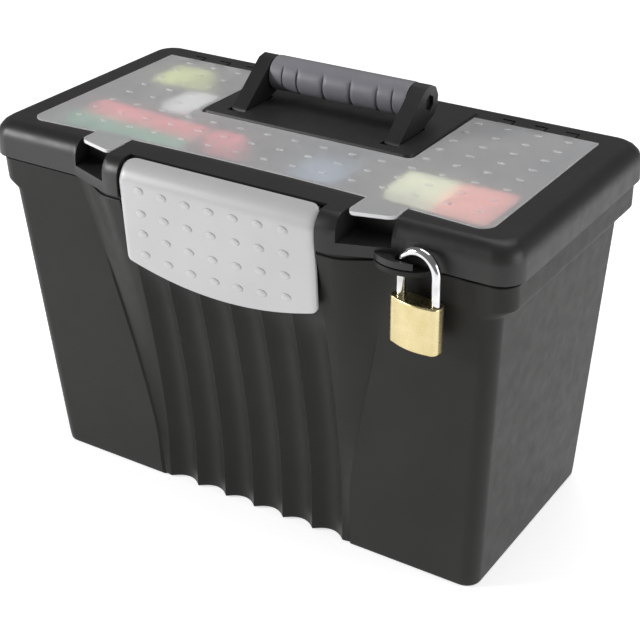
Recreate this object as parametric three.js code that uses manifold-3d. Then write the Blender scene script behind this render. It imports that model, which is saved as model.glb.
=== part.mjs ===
// Portable storage caddy: a tapered moulded bin with a collar, a hinged lid that
// carries a clear organiser cover over a tray, a fold-down carrying handle, a wide
// over-the-edge latch, and a small padlock through a pair of hasp lugs.
// Millimetres, +Z up, +X to the right along the length, -Y is the latch side.
// Origin: centre of the underside of the bin.

import * as THREE from 'three';
import * as BufferGeometryUtils from 'three/addons/utils/BufferGeometryUtils.js';
import Module from 'manifold-3d';

const wasm = await Module();
wasm.setup();

// ---- driving dimensions: bin ----
const GAP = 0.3;
const FIT = 0.35;
const CUT = 60;
const CENTRE_Y = 1.8;
const BASE_HALF_X = 192;
const BASE_HALF_Y = 91.5;
const WALL_HALF_X = 205.5;
const WALL_HALF_Y = 99.5;
const COLLAR_UNDER_Z = 230;
const COLLAR_LOW_Z = 238;
const BIN_TOP_Z = 258.2;
const COLLAR_HALF_X = 215;
const COLLAR_FRONT_Y = -107;
const COLLAR_BACK_Y = 106;
const WALL_CORNER_R = 12;
const COLLAR_CORNER_R = 14;
const FOOT_ROUND = 2.5;
const SHELL = 3;

// ---- driving dimensions: front bay and flutes ----
const BAY_START_Z = 40;
const BAY_RISE = BIN_TOP_Z - BAY_START_Z;
const RIDGE_Y = -89;
const BAY_REACH = 36;
const BAY_LEAN = 1.5;
const FLUTE_PITCH = 27;
const FLUTES = 6;
const FLUTE_DEPTH = 6.5;
const FLUTE_FADE_Z = 195;
const FLUTE_END_Z = 214;
const RIDGE_HALF_X = FLUTE_PITCH * FLUTES / 2;
const BAY_FACE_STEP = 0.5;
const BAY_FACE_GROW = 11;
const WALL_SHIFT_Y = 2;
const MIN_CORNER_R = 4;
const BAY_EDGE_LOW_X = 88;
const BAY_EDGE_GROW = 47;
const BAY_EDGE_LEAN = 1.3;
const GROOVE_DEPTH = 1.5;
const GROOVE_STEP = 1.2;
const GROOVE_MIN = 0.2;
const BAY_CROWN = 0.4;

// ---- driving dimensions: lid ----
const LID_LOW_Z = 258.8;
const LID_TOP_Z = 285.5;
const LID_OVERHANG = 4;
const LID_SIDE_Z = 271;
const LID_ROUND = 12;
const LID_ROLL_STEPS = 5;
const LID_BAY_ROLL = 11;
const LID_CAVITY_TOP_Z = 280.5;
const LID_SKIRT = 3.2;
const LID_FRONT_INNER_Y = -105.3;
const LID_BAY_Y = -126;
const LID_BAY_HALF_X = 92;
const LID_BAY_EDGE_X = 135;
const DECK_Z = 287.3;
const DECK_HALF_X = 91;
const DECK_FRONT_Y = -14.5;
const DECK_BACK_Y = 94;
const DECK_SLOPE = 1.2;
const DECK_CORNER_R = 6;
const LATCH_BAY_HALF_X = 82.3;
const LATCH_BAY_Y = -116.5;
const LATCH_BAY_BACK_Y = -108.7;
const LATCH_BAY_STEP_Z = 273;
const LATCH_BAY_LOW_Z = 218;
const POCKET_X0 = 97;
const POCKET_X1 = 132;
const POCKET_BACK_Y = -95.5;
const POCKET_FLOOR_Z = 267;
const POCKET_WALL = 2.4;

// ---- driving dimensions: organiser cover and tray ----
const COVER_HALF_X = 191;
const COVER_FRONT_Y = -91.5;
const COVER_BACK_Y = 80.5;
const COVER_LOW_Z = 283.5;
const COVER_TOP_Z = 286.2;
const COVER_CORNER_R = 10;
const COVER_BOW = 7;
const WELL_HALF_X = 92;
const WELL_FRONT_Y = -15.5;
const TAB_X = 114.5;
const TAB_HALF = 16;
const TAB_TIP_Y = -111.5;
const TAB_ROOT = 14;
const TAB_CORNER_R = 6;
const WELL_ROUND = 5;
const LEDGE = 4;
const TRAY_LOW_Z = 262;
const TRAY_WALL = 2;
const TRAY_FLANGE_W = 3;
const TRAY_FLANGE_T = 1.8;
const DIVIDER_T = 1.6;
const DIVIDER_TOP_Z = 280;
const FRONT_DIVIDER_X = 64;
const ARM_DIVIDER_Y = 28;
const EAR_XS = [116, 142, 167];
const EAR_HALF = 5;
const EAR_R = 2.5;
const COVER_AXIS_Y = 86.5;
const COVER_AXIS_Z = 283.7;
const COVER_PIN_R = 1.1;
const EAR_SLOT_BACK_Y = 91;
const COVER_PIN_X0 = 106;
const COVER_PIN_X1 = 176;

// ---- driving dimensions: lid hinge ----
const LID_AXIS_Y = 113.5;
const LID_AXIS_Z = 258.5;
const KNUCKLE_R = 4.5;
const HINGE_X = 130;
const BIN_KNUCKLE_HALF = 12;
const LID_KNUCKLE_END = 25;
const LID_PIN_R = 2.1;
const LID_BORE_R = 2.4;

// ---- driving dimensions: latch ----
const LATCH_HALF_X = 81;
const LATCH_LOW_Z = 197;
const LATCH_SIDE_LOW_Z = 210;
const LATCH_FACE_LOW_Y = -121.3;
const LATCH_FACE_TOP_Y = -125.6;
const LATCH_BEND_Z = 269;
const LATCH_LIP_Y = -112;
const LATCH_BEND_STEPS = 5;
const LATCH_BEND_TURN = Math.PI * 0.39;
const LATCH_CORNER_R = 9;
const LATCH_PLATE_T = 2;
const LATCH_AXIS_Y = -114.5;
const LATCH_AXIS_Z = 280.9;
const LATCH_BARREL_R = 2.6;
const LATCH_PIN_R = 1.2;
const LATCH_PIN_X0 = 76;
const LATCH_PIN_X1 = 88;
const FLANGE_T = 2.5;
const FLANGE_INSET = 1.4;
const FLANGE_CLEAR = 0.8;
const CARRIER_INSET = 1.2;
const HOOK_HALF_X = 30;
const HOOK_Z = 241;
const HOOK_H = 3;
const CATCH_Z = 246;
const CATCH_H = 3;
const CATCH_D = 1.5;
const HOOK_CLEAR = 0.5;

// ---- driving dimensions: handle ----
const HANDLE_AXIS_Y = 6;
const HANDLE_AXIS_Z = 284;
const GRIP_Y = 45;
const GRIP_Z = 305;
const GRIP_R = 13.3;
const GRIP_HALF_X = 60;
const GRIP_BORE_R = 6.6;
const CORE_R = 6.2;
const GRIP_EDGES = [-60, -48, -35, -12, 12, 35, 48, 60];
const GRIP_GROOVE = 0.9;
const GRIP_END_R = 11.8;
const ARM_T = 12.5;
const FOOT_R = 5.5;
const SLOT_CLEAR = 1;
const SLOT_FRONT_Y = -4;
const SLOT_BACK_Y = 38;
const HANDLE_PIN_R = 2;
const HANDLE_PIN_REACH = 4;

// ---- driving dimensions: hasp and padlock ----
const LUG_X = 139.5;
const LUG_Y = -108;
const LUG_R = 21.5;
const LUG_ROOT_Y = -104;
const LUG_T = 3.6;
const UPPER_LUG_LOW_Z = 259.4;
const UPPER_LUG_T = 4.6;
const LUG_REACH = 14.5;
const LUG_CURVE = 10;
const LUG_HOLE_R = 4.7;
const LEG_X = 141.5;
const LEG_Y = -115;
const SHACKLE_R = 3.17;
const SHACKLE_SIDES = 14;
const LEG_SPACING = 28;
const LEG_LOW_Z = 224.5;
const SHACKLE_TOP_Z = 275.5;
const LOCK_X = LEG_X + LEG_SPACING / 2;
const LOCK_W = 38.5;
const LOCK_T = 13;
const LOCK_LOW_Z = 204.5;
const LOCK_TURN_DEG = -8.5;
const LOCK_H = 34.3;
const LOCK_ROUND = 5;
const LOCK_BORE_LOW_Z = 214.5;
const PLUG_R = 5;
const PLUG_H = 6;
const KEYWAY_W = 1.6;
const KEYWAY_L = 6;
const KEYWAY_D = 4;

// ---- materials ----
function material(color, roughness, metalness) {
  return new THREE.MeshStandardMaterial({ color, roughness, metalness });
}
const charcoal = material(0x3b3b3b, 0.5, 0);
const black = material(0x222222, 0.55, 0);
const clear = material(0xb9bcbe, 0.2, 0);
const silver = material(0xcfcfcf, 0.35, 0.2);
const gripGrey = material(0x6b6a70, 0.6, 0);
const steel = material(0xc9c9cc, 0.2, 1);
const brass = material(0xc6a662, 0.3, 1);
const trayBlack = material(0x2c2c2c, 0.6, 0);

// ---- solids: three.js geometry in, closed solid out ----
function solid(geometry) {
  const bare = geometry.clone();
  bare.deleteAttribute('normal');
  bare.deleteAttribute('uv');
  const merged = BufferGeometryUtils.mergeVertices(bare, 1e-4);
  const vertProperties = new Float32Array(merged.attributes.position.array);
  const triVerts = new Uint32Array(merged.index.array);
  return new wasm.Manifold(new wasm.Mesh({ numProp: 3, vertProperties, triVerts }));
}

function toGeometry(body) {
  const mesh = body.getMesh();
  const geometry = new THREE.BufferGeometry();
  const position = new Float32Array(mesh.vertProperties);
  geometry.setAttribute('position', new THREE.BufferAttribute(position, 3));
  geometry.setIndex(new THREE.BufferAttribute(new Uint32Array(mesh.triVerts), 1));
  geometry.computeVertexNormals();
  return geometry;
}

function box(x0, x1, y0, y1, z0, z1) {
  const geometry = new THREE.BoxGeometry(x1 - x0, y1 - y0, z1 - z0);
  geometry.translate((x0 + x1) / 2, (y0 + y1) / 2, (z0 + z1) / 2);
  return solid(geometry);
}

// round bar between two points on a line parallel to X
function barX(x0, x1, y, z, radius, sides = 16) {
  const geometry = new THREE.CylinderGeometry(radius, radius, x1 - x0, sides);
  geometry.rotateZ(Math.PI / 2);
  geometry.translate((x0 + x1) / 2, y, z);
  return solid(geometry);
}

function barZ(x, y, z0, z1, radius, sides = 20) {
  const geometry = new THREE.CylinderGeometry(radius, radius, z1 - z0, sides);
  geometry.rotateX(Math.PI / 2);
  geometry.translate(x, y, (z0 + z1) / 2);
  return solid(geometry);
}

// plan outline (x, y) extruded up from z0 to z1
function plate(shape, z0, z1, curveSegments = 6) {
  const depth = z1 - z0;
  const geometry = new THREE.ExtrudeGeometry(shape, { depth, bevelEnabled: false, curveSegments });
  geometry.translate(0, 0, z0);
  return solid(geometry);
}

// side outline (y, z) extruded along X from x0 to x1
function sideBar(points, x0, x1) {
  const shape = new THREE.Shape(points.map(([y, z]) => new THREE.Vector2(y, z)));
  const geometry = new THREE.ExtrudeGeometry(shape, { depth: x1 - x0, bevelEnabled: false });
  geometry.applyMatrix4(new THREE.Matrix4().set(0, 0, 1, x0, 1, 0, 0, 0, 0, 1, 0, 0, 0, 0, 0, 1));
  return solid(geometry);
}

// stack of rings with equal point counts, lowest first, each counter-clockwise from above
function loft(rings) {
  const count = rings[0].length;
  const position = [];
  const index = [];
  rings.forEach((ring) => ring.forEach((p) => position.push(p.x, p.y, p.z)));
  for (let k = 0; k + 1 < rings.length; k += 1) {
    for (let i = 0; i < count; i += 1) {
      const a = k * count + i;
      const b = k * count + (i + 1) % count;
      index.push(a, b, b + count);
      index.push(a, b + count, a + count);
    }
  }
  const flat = (ring) => ring.map((p) => new THREE.Vector2(p.x, p.y));
  const cap = (ring) => THREE.ShapeUtils.triangulateShape(flat(ring), []);
  cap(rings[0]).forEach(([a, b, c]) => index.push(a, c, b));
  const top = (rings.length - 1) * count;
  cap(rings[rings.length - 1]).forEach(([a, b, c]) => index.push(top + a, top + b, top + c));
  const geometry = new THREE.BufferGeometry();
  geometry.setAttribute('position', new THREE.BufferAttribute(new Float32Array(position), 3));
  geometry.setIndex(index);
  return solid(geometry);
}

function cornerArc(ring, cx, cy, radius, fromAngle, z, steps = 5) {
  for (let i = 0; i <= steps; i += 1) {
    const angle = fromAngle + Math.PI / 2 * i / steps;
    ring.push(new THREE.Vector3(cx + radius * Math.cos(angle), cy + radius * Math.sin(angle), z));
  }
}

// rounded rectangle ring whose front edge runs through the given (x, y) points
function ringOf(halfX, yFront, yBack, radius, z, frontPoints = []) {
  const ring = [];
  cornerArc(ring, -halfX + radius, yFront + radius, radius, Math.PI, z);
  frontPoints.forEach(([x, y]) => ring.push(new THREE.Vector3(x, y, z)));
  cornerArc(ring, halfX - radius, yFront + radius, radius, -Math.PI / 2, z);
  cornerArc(ring, halfX - radius, yBack - radius, radius, 0, z);
  cornerArc(ring, -halfX + radius, yBack - radius, radius, Math.PI / 2, z);
  return ring;
}

function rectShape(x0, x1, y0, y1, radius) {
  const shape = new THREE.Shape();
  shape.moveTo(x0 + radius, y0);
  shape.lineTo(x1 - radius, y0);
  shape.absarc(x1 - radius, y0 + radius, radius, -Math.PI / 2, 0, false);
  shape.lineTo(x1, y1 - radius);
  shape.absarc(x1 - radius, y1 - radius, radius, 0, Math.PI / 2, false);
  shape.lineTo(x0 + radius, y1);
  shape.absarc(x0 + radius, y1 - radius, radius, Math.PI / 2, Math.PI, false);
  shape.lineTo(x0, y0 + radius);
  shape.absarc(x0 + radius, y0 + radius, radius, Math.PI, Math.PI * 1.5, false);
  return shape;
}

// ---- assembly ----
const group = new THREE.Group();

function add(name, body, look) {
  const mesh = new THREE.Mesh(toGeometry(body), look);
  mesh.name = name;
  group.add(mesh);
}

const lerp = THREE.MathUtils.lerp;
const SIDES = [['left', -1], ['right', 1]];

// an X span mirrored to the left or right side
function spanOf(sign, x0, x1) {
  return sign > 0 ? [x0, x1] : [-x1, -x0];
}

// ---- bin ----
function bayLift(z, lean) {
  return Math.pow(Math.max(0, (z - BAY_START_Z) / BAY_RISE), lean);
}

function wallSize(z) {
  const wall = Math.min(z, COLLAR_UNDER_Z) / COLLAR_UNDER_Z;
  const collar = THREE.MathUtils.clamp((z - COLLAR_UNDER_Z) / (COLLAR_LOW_Z - COLLAR_UNDER_Z), 0, 1);
  const halfX = lerp(BASE_HALF_X, WALL_HALF_X, wall);
  const halfY = lerp(BASE_HALF_Y, WALL_HALF_Y, wall);
  return {
    halfX: lerp(halfX, COLLAR_HALF_X, collar),
    yFront: lerp(CENTRE_Y - BASE_HALF_Y, COLLAR_FRONT_Y, Math.min(1, z / BIN_TOP_Z)),
    yBack: lerp(CENTRE_Y + halfY - WALL_SHIFT_Y * wall, COLLAR_BACK_Y, collar),
    radius: lerp(WALL_CORNER_R, COLLAR_CORNER_R, collar),
  };
}

// the front edge of the bin at one height: wall, groove, flank and fluted bay face
function bayPoints(z, yWall, inset, fluted) {
  const lift = bayLift(z, BAY_LEAN);
  const yRidge = RIDGE_Y - BAY_REACH * lift + inset;
  const faceX = RIDGE_HALF_X + BAY_FACE_STEP + BAY_FACE_GROW * lift - (fluted ? 0 : inset);
  const edgeX = BAY_EDGE_LOW_X + BAY_EDGE_GROW * bayLift(z, BAY_EDGE_LEAN) - inset;
  const groove = GROOVE_MIN + GROOVE_DEPTH * (1 - Math.min(1, lift));
  const fade = THREE.MathUtils.clamp((FLUTE_END_Z - z) / (FLUTE_END_Z - FLUTE_FADE_Z), 0, 1);
  const depth = FLUTE_DEPTH * fade;
  const points = [[-edgeX - GROOVE_STEP, yWall], [-edgeX, yWall + groove]];
  if (!fluted) {
    const yFace = Math.max(yRidge + depth, LATCH_BAY_Y + SHELL);
    points.push([-faceX, yFace], [faceX, yFace]);
  } else {
    points.push([-faceX, yRidge]);
    const stepsPerFlute = 4;
    for (let i = 0; i <= FLUTES * stepsPerFlute; i += 1) {
      const across = (i % stepsPerFlute) / stepsPerFlute;
      const dip = depth * (1 - Math.pow(2 * across - 1, 2));
      const x = -RIDGE_HALF_X + i * FLUTE_PITCH / stepsPerFlute;
      const crown = BAY_CROWN * (1 - Math.pow(x / RIDGE_HALF_X, 2));
      points.push([x, yRidge - crown + (across === 0 ? 0 : dip)]);
    }
    points.push([faceX, yRidge]);
  }
  points.push([edgeX, yWall + groove], [edgeX + GROOVE_STEP, yWall]);
  return points;
}

function binRing(z, inset, fluted, zDraw = z) {
  const size = wallSize(z);
  const yWall = size.yFront + inset;
  const front = bayPoints(z, yWall, inset, fluted);
  const radius = Math.max(MIN_CORNER_R, size.radius - inset);
  return ringOf(size.halfX - inset, yWall, size.yBack - inset, radius, zDraw, front);
}

const binLevels = [FOOT_ROUND, BAY_START_Z, 75, 105, 135, 165, FLUTE_FADE_Z, FLUTE_END_Z];
const collarLevels = [COLLAR_UNDER_Z, COLLAR_LOW_Z - 3, COLLAR_LOW_Z, BIN_TOP_Z];
const outerRings = [binRing(0, FOOT_ROUND, true)];
binLevels.concat(collarLevels).forEach((z) => outerRings.push(binRing(z, 0, true)));
const innerRings = [binRing(SHELL, SHELL + 1, false)];
const innerLevels = [BAY_START_Z, 105, 165, FLUTE_END_Z, COLLAR_UNDER_Z];
innerLevels.forEach((z) => innerRings.push(binRing(z, SHELL, false)));
innerRings.push(binRing(COLLAR_LOW_Z, SHELL, false, COLLAR_LOW_Z + SHELL));
innerRings.push(binRing(BIN_TOP_Z, SHELL, false, BIN_TOP_Z + 1));

function lugShape() {
  const shape = new THREE.Shape();
  shape.moveTo(LUG_X - LUG_R, LUG_ROOT_Y);
  shape.lineTo(LUG_X - LUG_R, LUG_Y);
  shape.absellipse(LUG_X, LUG_Y, LUG_R, LUG_REACH, Math.PI, 2 * Math.PI, false, 0);
  shape.lineTo(LUG_X + LUG_R, LUG_ROOT_Y);
  return shape;
}

// a box as wide as the latch's recess
function bayBox(y0, y1, z0) {
  return box(-LATCH_BAY_HALF_X, LATCH_BAY_HALF_X, y0, y1, z0, LID_TOP_Z + CUT);
}

const latchBay = bayBox(LATCH_BAY_Y - CUT, LATCH_BAY_Y, LATCH_BAY_LOW_Z);
const legHole = barZ(LEG_X, LEG_Y, BIN_TOP_Z - CUT, LID_TOP_Z + CUT, LUG_HOLE_R);

let bin = loft(outerRings).subtract(loft(innerRings)).subtract(latchBay);
bin = bin.add(plate(lugShape(), BIN_TOP_Z - LUG_T, BIN_TOP_Z, LUG_CURVE)).subtract(legHole);
const catchFront = LATCH_BAY_Y - CATCH_D;
bin = bin.add(box(-HOOK_HALF_X, HOOK_HALF_X, catchFront, LATCH_BAY_Y + 1, CATCH_Z, CATCH_Z + CATCH_H));

// knuckle barrel with the tab that joins it to its wall
function knuckle(x0, x1, yRoot, zLow, zHigh) {
  const barrel = barX(x0, x1, LID_AXIS_Y, LID_AXIS_Z, KNUCKLE_R);
  return barrel.add(box(x0, x1, yRoot, LID_AXIS_Y, zLow, zHigh));
}

SIDES.forEach(([, sign]) => {
  const [x0, x1] = spanOf(sign, HINGE_X - BIN_KNUCKLE_HALF, HINGE_X + BIN_KNUCKLE_HALF);
  bin = bin.add(knuckle(x0, x1, COLLAR_BACK_Y - 1, LID_AXIS_Z - KNUCKLE_R, BIN_TOP_Z));
  bin = bin.subtract(barX(x0 - 1, x1 + 1, LID_AXIS_Y, LID_AXIS_Z, LID_BORE_R));
});
add('bin_shell', bin, charcoal);

// ---- lid frame ----
function lidRing(z, inset, yBay, edgeX) {
  const halfX = COLLAR_HALF_X + LID_OVERHANG - inset;
  const yFront = COLLAR_FRONT_Y - LID_OVERHANG + inset;
  const yBack = COLLAR_BACK_Y + LID_OVERHANG - inset;
  const bayX = LID_BAY_HALF_X;
  const front = [[-edgeX, yFront], [-bayX, yBay], [bayX, yBay], [edgeX, yFront]];
  return ringOf(halfX, yFront, yBack, COLLAR_CORNER_R + LID_OVERHANG - inset / 2, z, front);
}

// the side runs straight up, then rolls over to the flat top through an arc of rings
const lidRings = [lidRing(LID_LOW_Z, 0, LID_BAY_Y, LID_BAY_EDGE_X)];
for (let i = 0; i <= LID_ROLL_STEPS; i += 1) {
  const turn = Math.PI / 2 * i / LID_ROLL_STEPS;
  const z = lerp(LID_SIDE_Z, LID_TOP_Z, Math.sin(turn));
  const roll = 1 - Math.cos(turn);
  lidRings.push(lidRing(z, LID_ROUND * roll, LID_BAY_Y + LID_BAY_ROLL * roll, LID_BAY_EDGE_X));
}
const lidOuter = loft(lidRings);

function cavityRing(z, inset) {
  const halfX = COLLAR_HALF_X + LID_OVERHANG - inset;
  const yBack = COLLAR_BACK_Y + LID_OVERHANG - inset;
  return ringOf(halfX, LID_FRONT_INNER_Y + inset - LID_SKIRT, yBack, COLLAR_CORNER_R, z);
}

function pocketBox(sign, grow) {
  const [x0, x1] = spanOf(sign, POCKET_X0, POCKET_X1);
  const open = grow > 0 ? 0 : CUT;
  const floor = POCKET_FLOOR_Z - grow;
  return box(x0 - grow, x1 + grow, LID_BAY_Y - open, POCKET_BACK_Y + grow, floor, LID_TOP_Z + open);
}

// the U-shaped plan of the organiser, grown or shrunk by an offset
function organiserShape(offset) {
  const shape = new THREE.Shape();
  const x = COVER_HALF_X + offset;
  const r = Math.max(1, COVER_CORNER_R + offset);
  const yf = COVER_FRONT_Y - offset;
  const yb = COVER_BACK_Y + offset;
  const wx = WELL_HALF_X - offset;
  const wy = WELL_FRONT_Y + offset;
  const bowSteps = 12;
  shape.moveTo(-x, yb);
  shape.lineTo(-x, yf + r);
  shape.absarc(-x + r, yf + r, r, Math.PI, Math.PI * 1.5, false);
  for (let i = 1; i < bowSteps; i += 1) {
    const across = 2 * i / bowSteps - 1;
    shape.lineTo(across * (x - r), yf + COVER_BOW * (1 - across * across));
  }
  shape.absarc(x - r, yf + r, r, -Math.PI / 2, 0, false);
  shape.lineTo(x, yb);
  shape.lineTo(wx, yb);
  shape.lineTo(wx, wy + WELL_ROUND);
  shape.absarc(wx - WELL_ROUND, wy + WELL_ROUND, WELL_ROUND, 0, -Math.PI / 2, true);
  shape.absarc(-wx + WELL_ROUND, wy + WELL_ROUND, WELL_ROUND, -Math.PI / 2, -Math.PI, true);
  shape.lineTo(-wx, yb);
  return shape;
}

// one finger tab on the cover's front edge
function tabShape(sign, offset) {
  const half = TAB_HALF + offset;
  const x = sign * TAB_X;
  return rectShape(x - half, x + half, TAB_TIP_Y - offset, COVER_FRONT_Y + TAB_ROOT, TAB_CORNER_R);
}

let lidInner = loft([
  cavityRing(LID_LOW_Z - 1, LID_SKIRT),
  cavityRing(LID_SIDE_Z - 1, LID_SKIRT),
  cavityRing(LID_SIDE_Z + 6, LID_SKIRT + 3),
  cavityRing(LID_CAVITY_TOP_Z, LID_SKIRT + 7),
]);
SIDES.forEach(([, sign]) => {
  lidInner = lidInner.subtract(pocketBox(sign, POCKET_WALL));
});

const deckLow = ringOf(DECK_HALF_X, DECK_FRONT_Y, DECK_BACK_Y, DECK_CORNER_R, LID_TOP_Z - 1);
const deckHigh = ringOf(
  DECK_HALF_X - DECK_SLOPE,
  DECK_FRONT_Y + DECK_SLOPE,
  DECK_BACK_Y - DECK_SLOPE,
  DECK_CORNER_R,
  DECK_Z,
);

let lid = lidOuter.add(loft([deckLow, deckHigh])).subtract(lidInner);
lid = lid.subtract(plate(organiserShape(-LEDGE), LID_CAVITY_TOP_Z - CUT / 6, LID_TOP_Z + 1));
lid = lid.subtract(plate(organiserShape(FIT), COVER_LOW_Z - GAP, DECK_Z + 1));
lid = lid.subtract(latchBay);
lid = lid.subtract(bayBox(LATCH_BAY_Y - 1, LATCH_BAY_BACK_Y, LATCH_BAY_STEP_Z));

SIDES.forEach(([, sign]) => {
  lid = lid.subtract(pocketBox(sign, 0));
  lid = lid.subtract(plate(tabShape(sign, FIT), COVER_LOW_Z - GAP, DECK_Z + 1));

  // hinge knuckles either side of the bin's knuckle, with room for it in the lid's back wall
  const room = BIN_KNUCKLE_HALF + GAP;
  const [n0, n1] = spanOf(sign, HINGE_X - room, HINGE_X + room);
  const roomFront = LID_AXIS_Y - KNUCKLE_R - GAP * 2;
  const roomTop = LID_AXIS_Z + KNUCKLE_R + 1;
  lid = lid.subtract(box(n0, n1, roomFront, LID_AXIS_Y + CUT, LID_LOW_Z - 1, roomTop));
  [[-LID_KNUCKLE_END, -room], [room, LID_KNUCKLE_END]].forEach(([a, b]) => {
    const x0 = sign * HINGE_X + a;
    const x1 = sign * HINGE_X + b;
    const rootY = COLLAR_BACK_Y + LID_OVERHANG - 1;
    lid = lid.add(knuckle(x0, x1, rootY, LID_LOW_Z, LID_AXIS_Z + KNUCKLE_R));
    lid = lid.subtract(barX(x0 - 1, x1 + 1, LID_AXIS_Y, LID_AXIS_Z, LID_BORE_R));
  });

  // slots for the cover's ears, and the bore of their pin
  EAR_XS.forEach((x) => {
    const [e0, e1] = spanOf(sign, x - EAR_HALF - GAP, x + EAR_HALF + GAP);
    const slotLow = LID_CAVITY_TOP_Z - CUT / 6;
    lid = lid.subtract(box(e0, e1, COVER_BACK_Y - 1, EAR_SLOT_BACK_Y, slotLow, LID_TOP_Z + 1));
  });
  const [c0, c1] = spanOf(sign, COVER_PIN_X0 - GAP, COVER_PIN_X1 + GAP);
  lid = lid.subtract(barX(c0, c1, COVER_AXIS_Y, COVER_AXIS_Z, COVER_PIN_R + GAP));

  // slot for the handle's foot, and the bore of its pivot pin
  const armX0 = GRIP_HALF_X + GAP;
  const [s0, s1] = spanOf(sign, armX0 - SLOT_CLEAR, armX0 + ARM_T + SLOT_CLEAR);
  lid = lid.subtract(box(s0, s1, SLOT_FRONT_Y, SLOT_BACK_Y, LID_CAVITY_TOP_Z - 1, DECK_Z + 1));
  const [p0, p1] = spanOf(sign, armX0 - HANDLE_PIN_REACH - GAP, armX0 + ARM_T + HANDLE_PIN_REACH + GAP);
  lid = lid.subtract(barX(p0, p1, HANDLE_AXIS_Y, HANDLE_AXIS_Z, HANDLE_PIN_R + GAP));

  // bore for the latch's pin in the cheek beside the latch
  const [l0, l1] = spanOf(sign, LATCH_BAY_HALF_X - 1, LATCH_PIN_X1 + GAP);
  lid = lid.subtract(barX(l0, l1, LATCH_AXIS_Y, LATCH_AXIS_Z, LATCH_PIN_R + GAP));
});

// upper hasp lug: its hole runs out to the right as a slot
const lugLow = UPPER_LUG_LOW_Z - GAP;
const lugHigh = UPPER_LUG_LOW_Z + UPPER_LUG_T + GAP;
const lugLeft = LUG_X - LUG_R - 1;
const lugRight = LUG_X + LUG_R + 1;
let upperLug = plate(lugShape(), UPPER_LUG_LOW_Z, UPPER_LUG_LOW_Z + UPPER_LUG_T, LUG_CURVE);
upperLug = upperLug.subtract(box(lugLeft, lugRight, LID_FRONT_INNER_Y, LUG_ROOT_Y + 1, lugLow, lugHigh));
lid = lid.add(upperLug).subtract(legHole);
lid = lid.subtract(box(LEG_X, lugRight, LEG_Y - LUG_HOLE_R, LEG_Y + LUG_HOLE_R, lugLow, lugHigh));
add('lid_frame', lid, charcoal);

SIDES.forEach(([side, sign]) => {
  const [x0, x1] = spanOf(sign, HINGE_X - LID_KNUCKLE_END, HINGE_X + LID_KNUCKLE_END);
  add('lid_hinge_pin_' + side, barX(x0, x1, LID_AXIS_Y, LID_AXIS_Z, LID_PIN_R), steel);
});

// ---- organiser tray and dividers, hung under the lid frame ----
const trayOut = -LEDGE - FIT;
const trayIn = trayOut - TRAY_WALL;
let tray = plate(organiserShape(trayOut), TRAY_LOW_Z, COVER_LOW_Z - GAP * 2);
const flangeTop = LID_CAVITY_TOP_Z - GAP;
tray = tray.add(plate(organiserShape(trayOut + TRAY_FLANGE_W), flangeTop - TRAY_FLANGE_T, flangeTop));
tray = tray.subtract(plate(organiserShape(trayIn), TRAY_LOW_Z + TRAY_WALL, COVER_LOW_Z + 1));
SIDES.forEach(([, sign]) => {
  tray = tray.subtract(pocketBox(sign, POCKET_WALL + GAP));
});
add('organiser_tray', tray, trayBlack);

const dividerLow = TRAY_LOW_Z + TRAY_WALL + GAP;
const bandFront = COVER_FRONT_Y + COVER_BOW - trayIn + GAP;
const bandBack = WELL_FRONT_Y + trayIn - GAP;
const armIn = WELL_HALF_X - trayIn + GAP;
const armOut = COVER_HALF_X + trayIn - GAP;
SIDES.forEach(([side, sign]) => {
  const [f0, f1] = spanOf(sign, FRONT_DIVIDER_X, FRONT_DIVIDER_X + DIVIDER_T);
  add('front_divider_' + side, box(f0, f1, bandFront, bandBack, dividerLow, DIVIDER_TOP_Z), trayBlack);
  const [a0, a1] = spanOf(sign, armIn, armOut);
  const yRow = bandBack;
  add('corner_divider_' + side, box(a0, a1, yRow, yRow + DIVIDER_T, dividerLow, DIVIDER_TOP_Z), trayBlack);
  const armRow = box(a0, a1, ARM_DIVIDER_Y, ARM_DIVIDER_Y + DIVIDER_T, dividerLow, DIVIDER_TOP_Z);
  add('arm_divider_' + side, armRow, trayBlack);
});

// ---- clear organiser cover with two finger tabs and hinge ears ----
let cover = plate(organiserShape(0), COVER_LOW_Z, COVER_TOP_Z);
SIDES.forEach(([, sign]) => {
  cover = cover.add(plate(tabShape(sign, 0), COVER_LOW_Z, COVER_TOP_Z));
  EAR_XS.forEach((x) => {
    const [x0, x1] = spanOf(sign, x - EAR_HALF, x + EAR_HALF);
    cover = cover.add(box(x0, x1, COVER_BACK_Y - 1, COVER_AXIS_Y, COVER_LOW_Z, COVER_TOP_Z));
    cover = cover.add(barX(x0, x1, COVER_AXIS_Y, COVER_AXIS_Z, EAR_R));
    cover = cover.subtract(barX(x0 - 1, x1 + 1, COVER_AXIS_Y, COVER_AXIS_Z, COVER_PIN_R + GAP));
  });
});
add('organiser_cover', cover, clear);

SIDES.forEach(([side, sign]) => {
  const [x0, x1] = spanOf(sign, COVER_PIN_X0, COVER_PIN_X1);
  add('cover_hinge_pin_' + side, barX(x0, x1, COVER_AXIS_Y, COVER_AXIS_Z, COVER_PIN_R, 12), steel);
});

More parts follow.
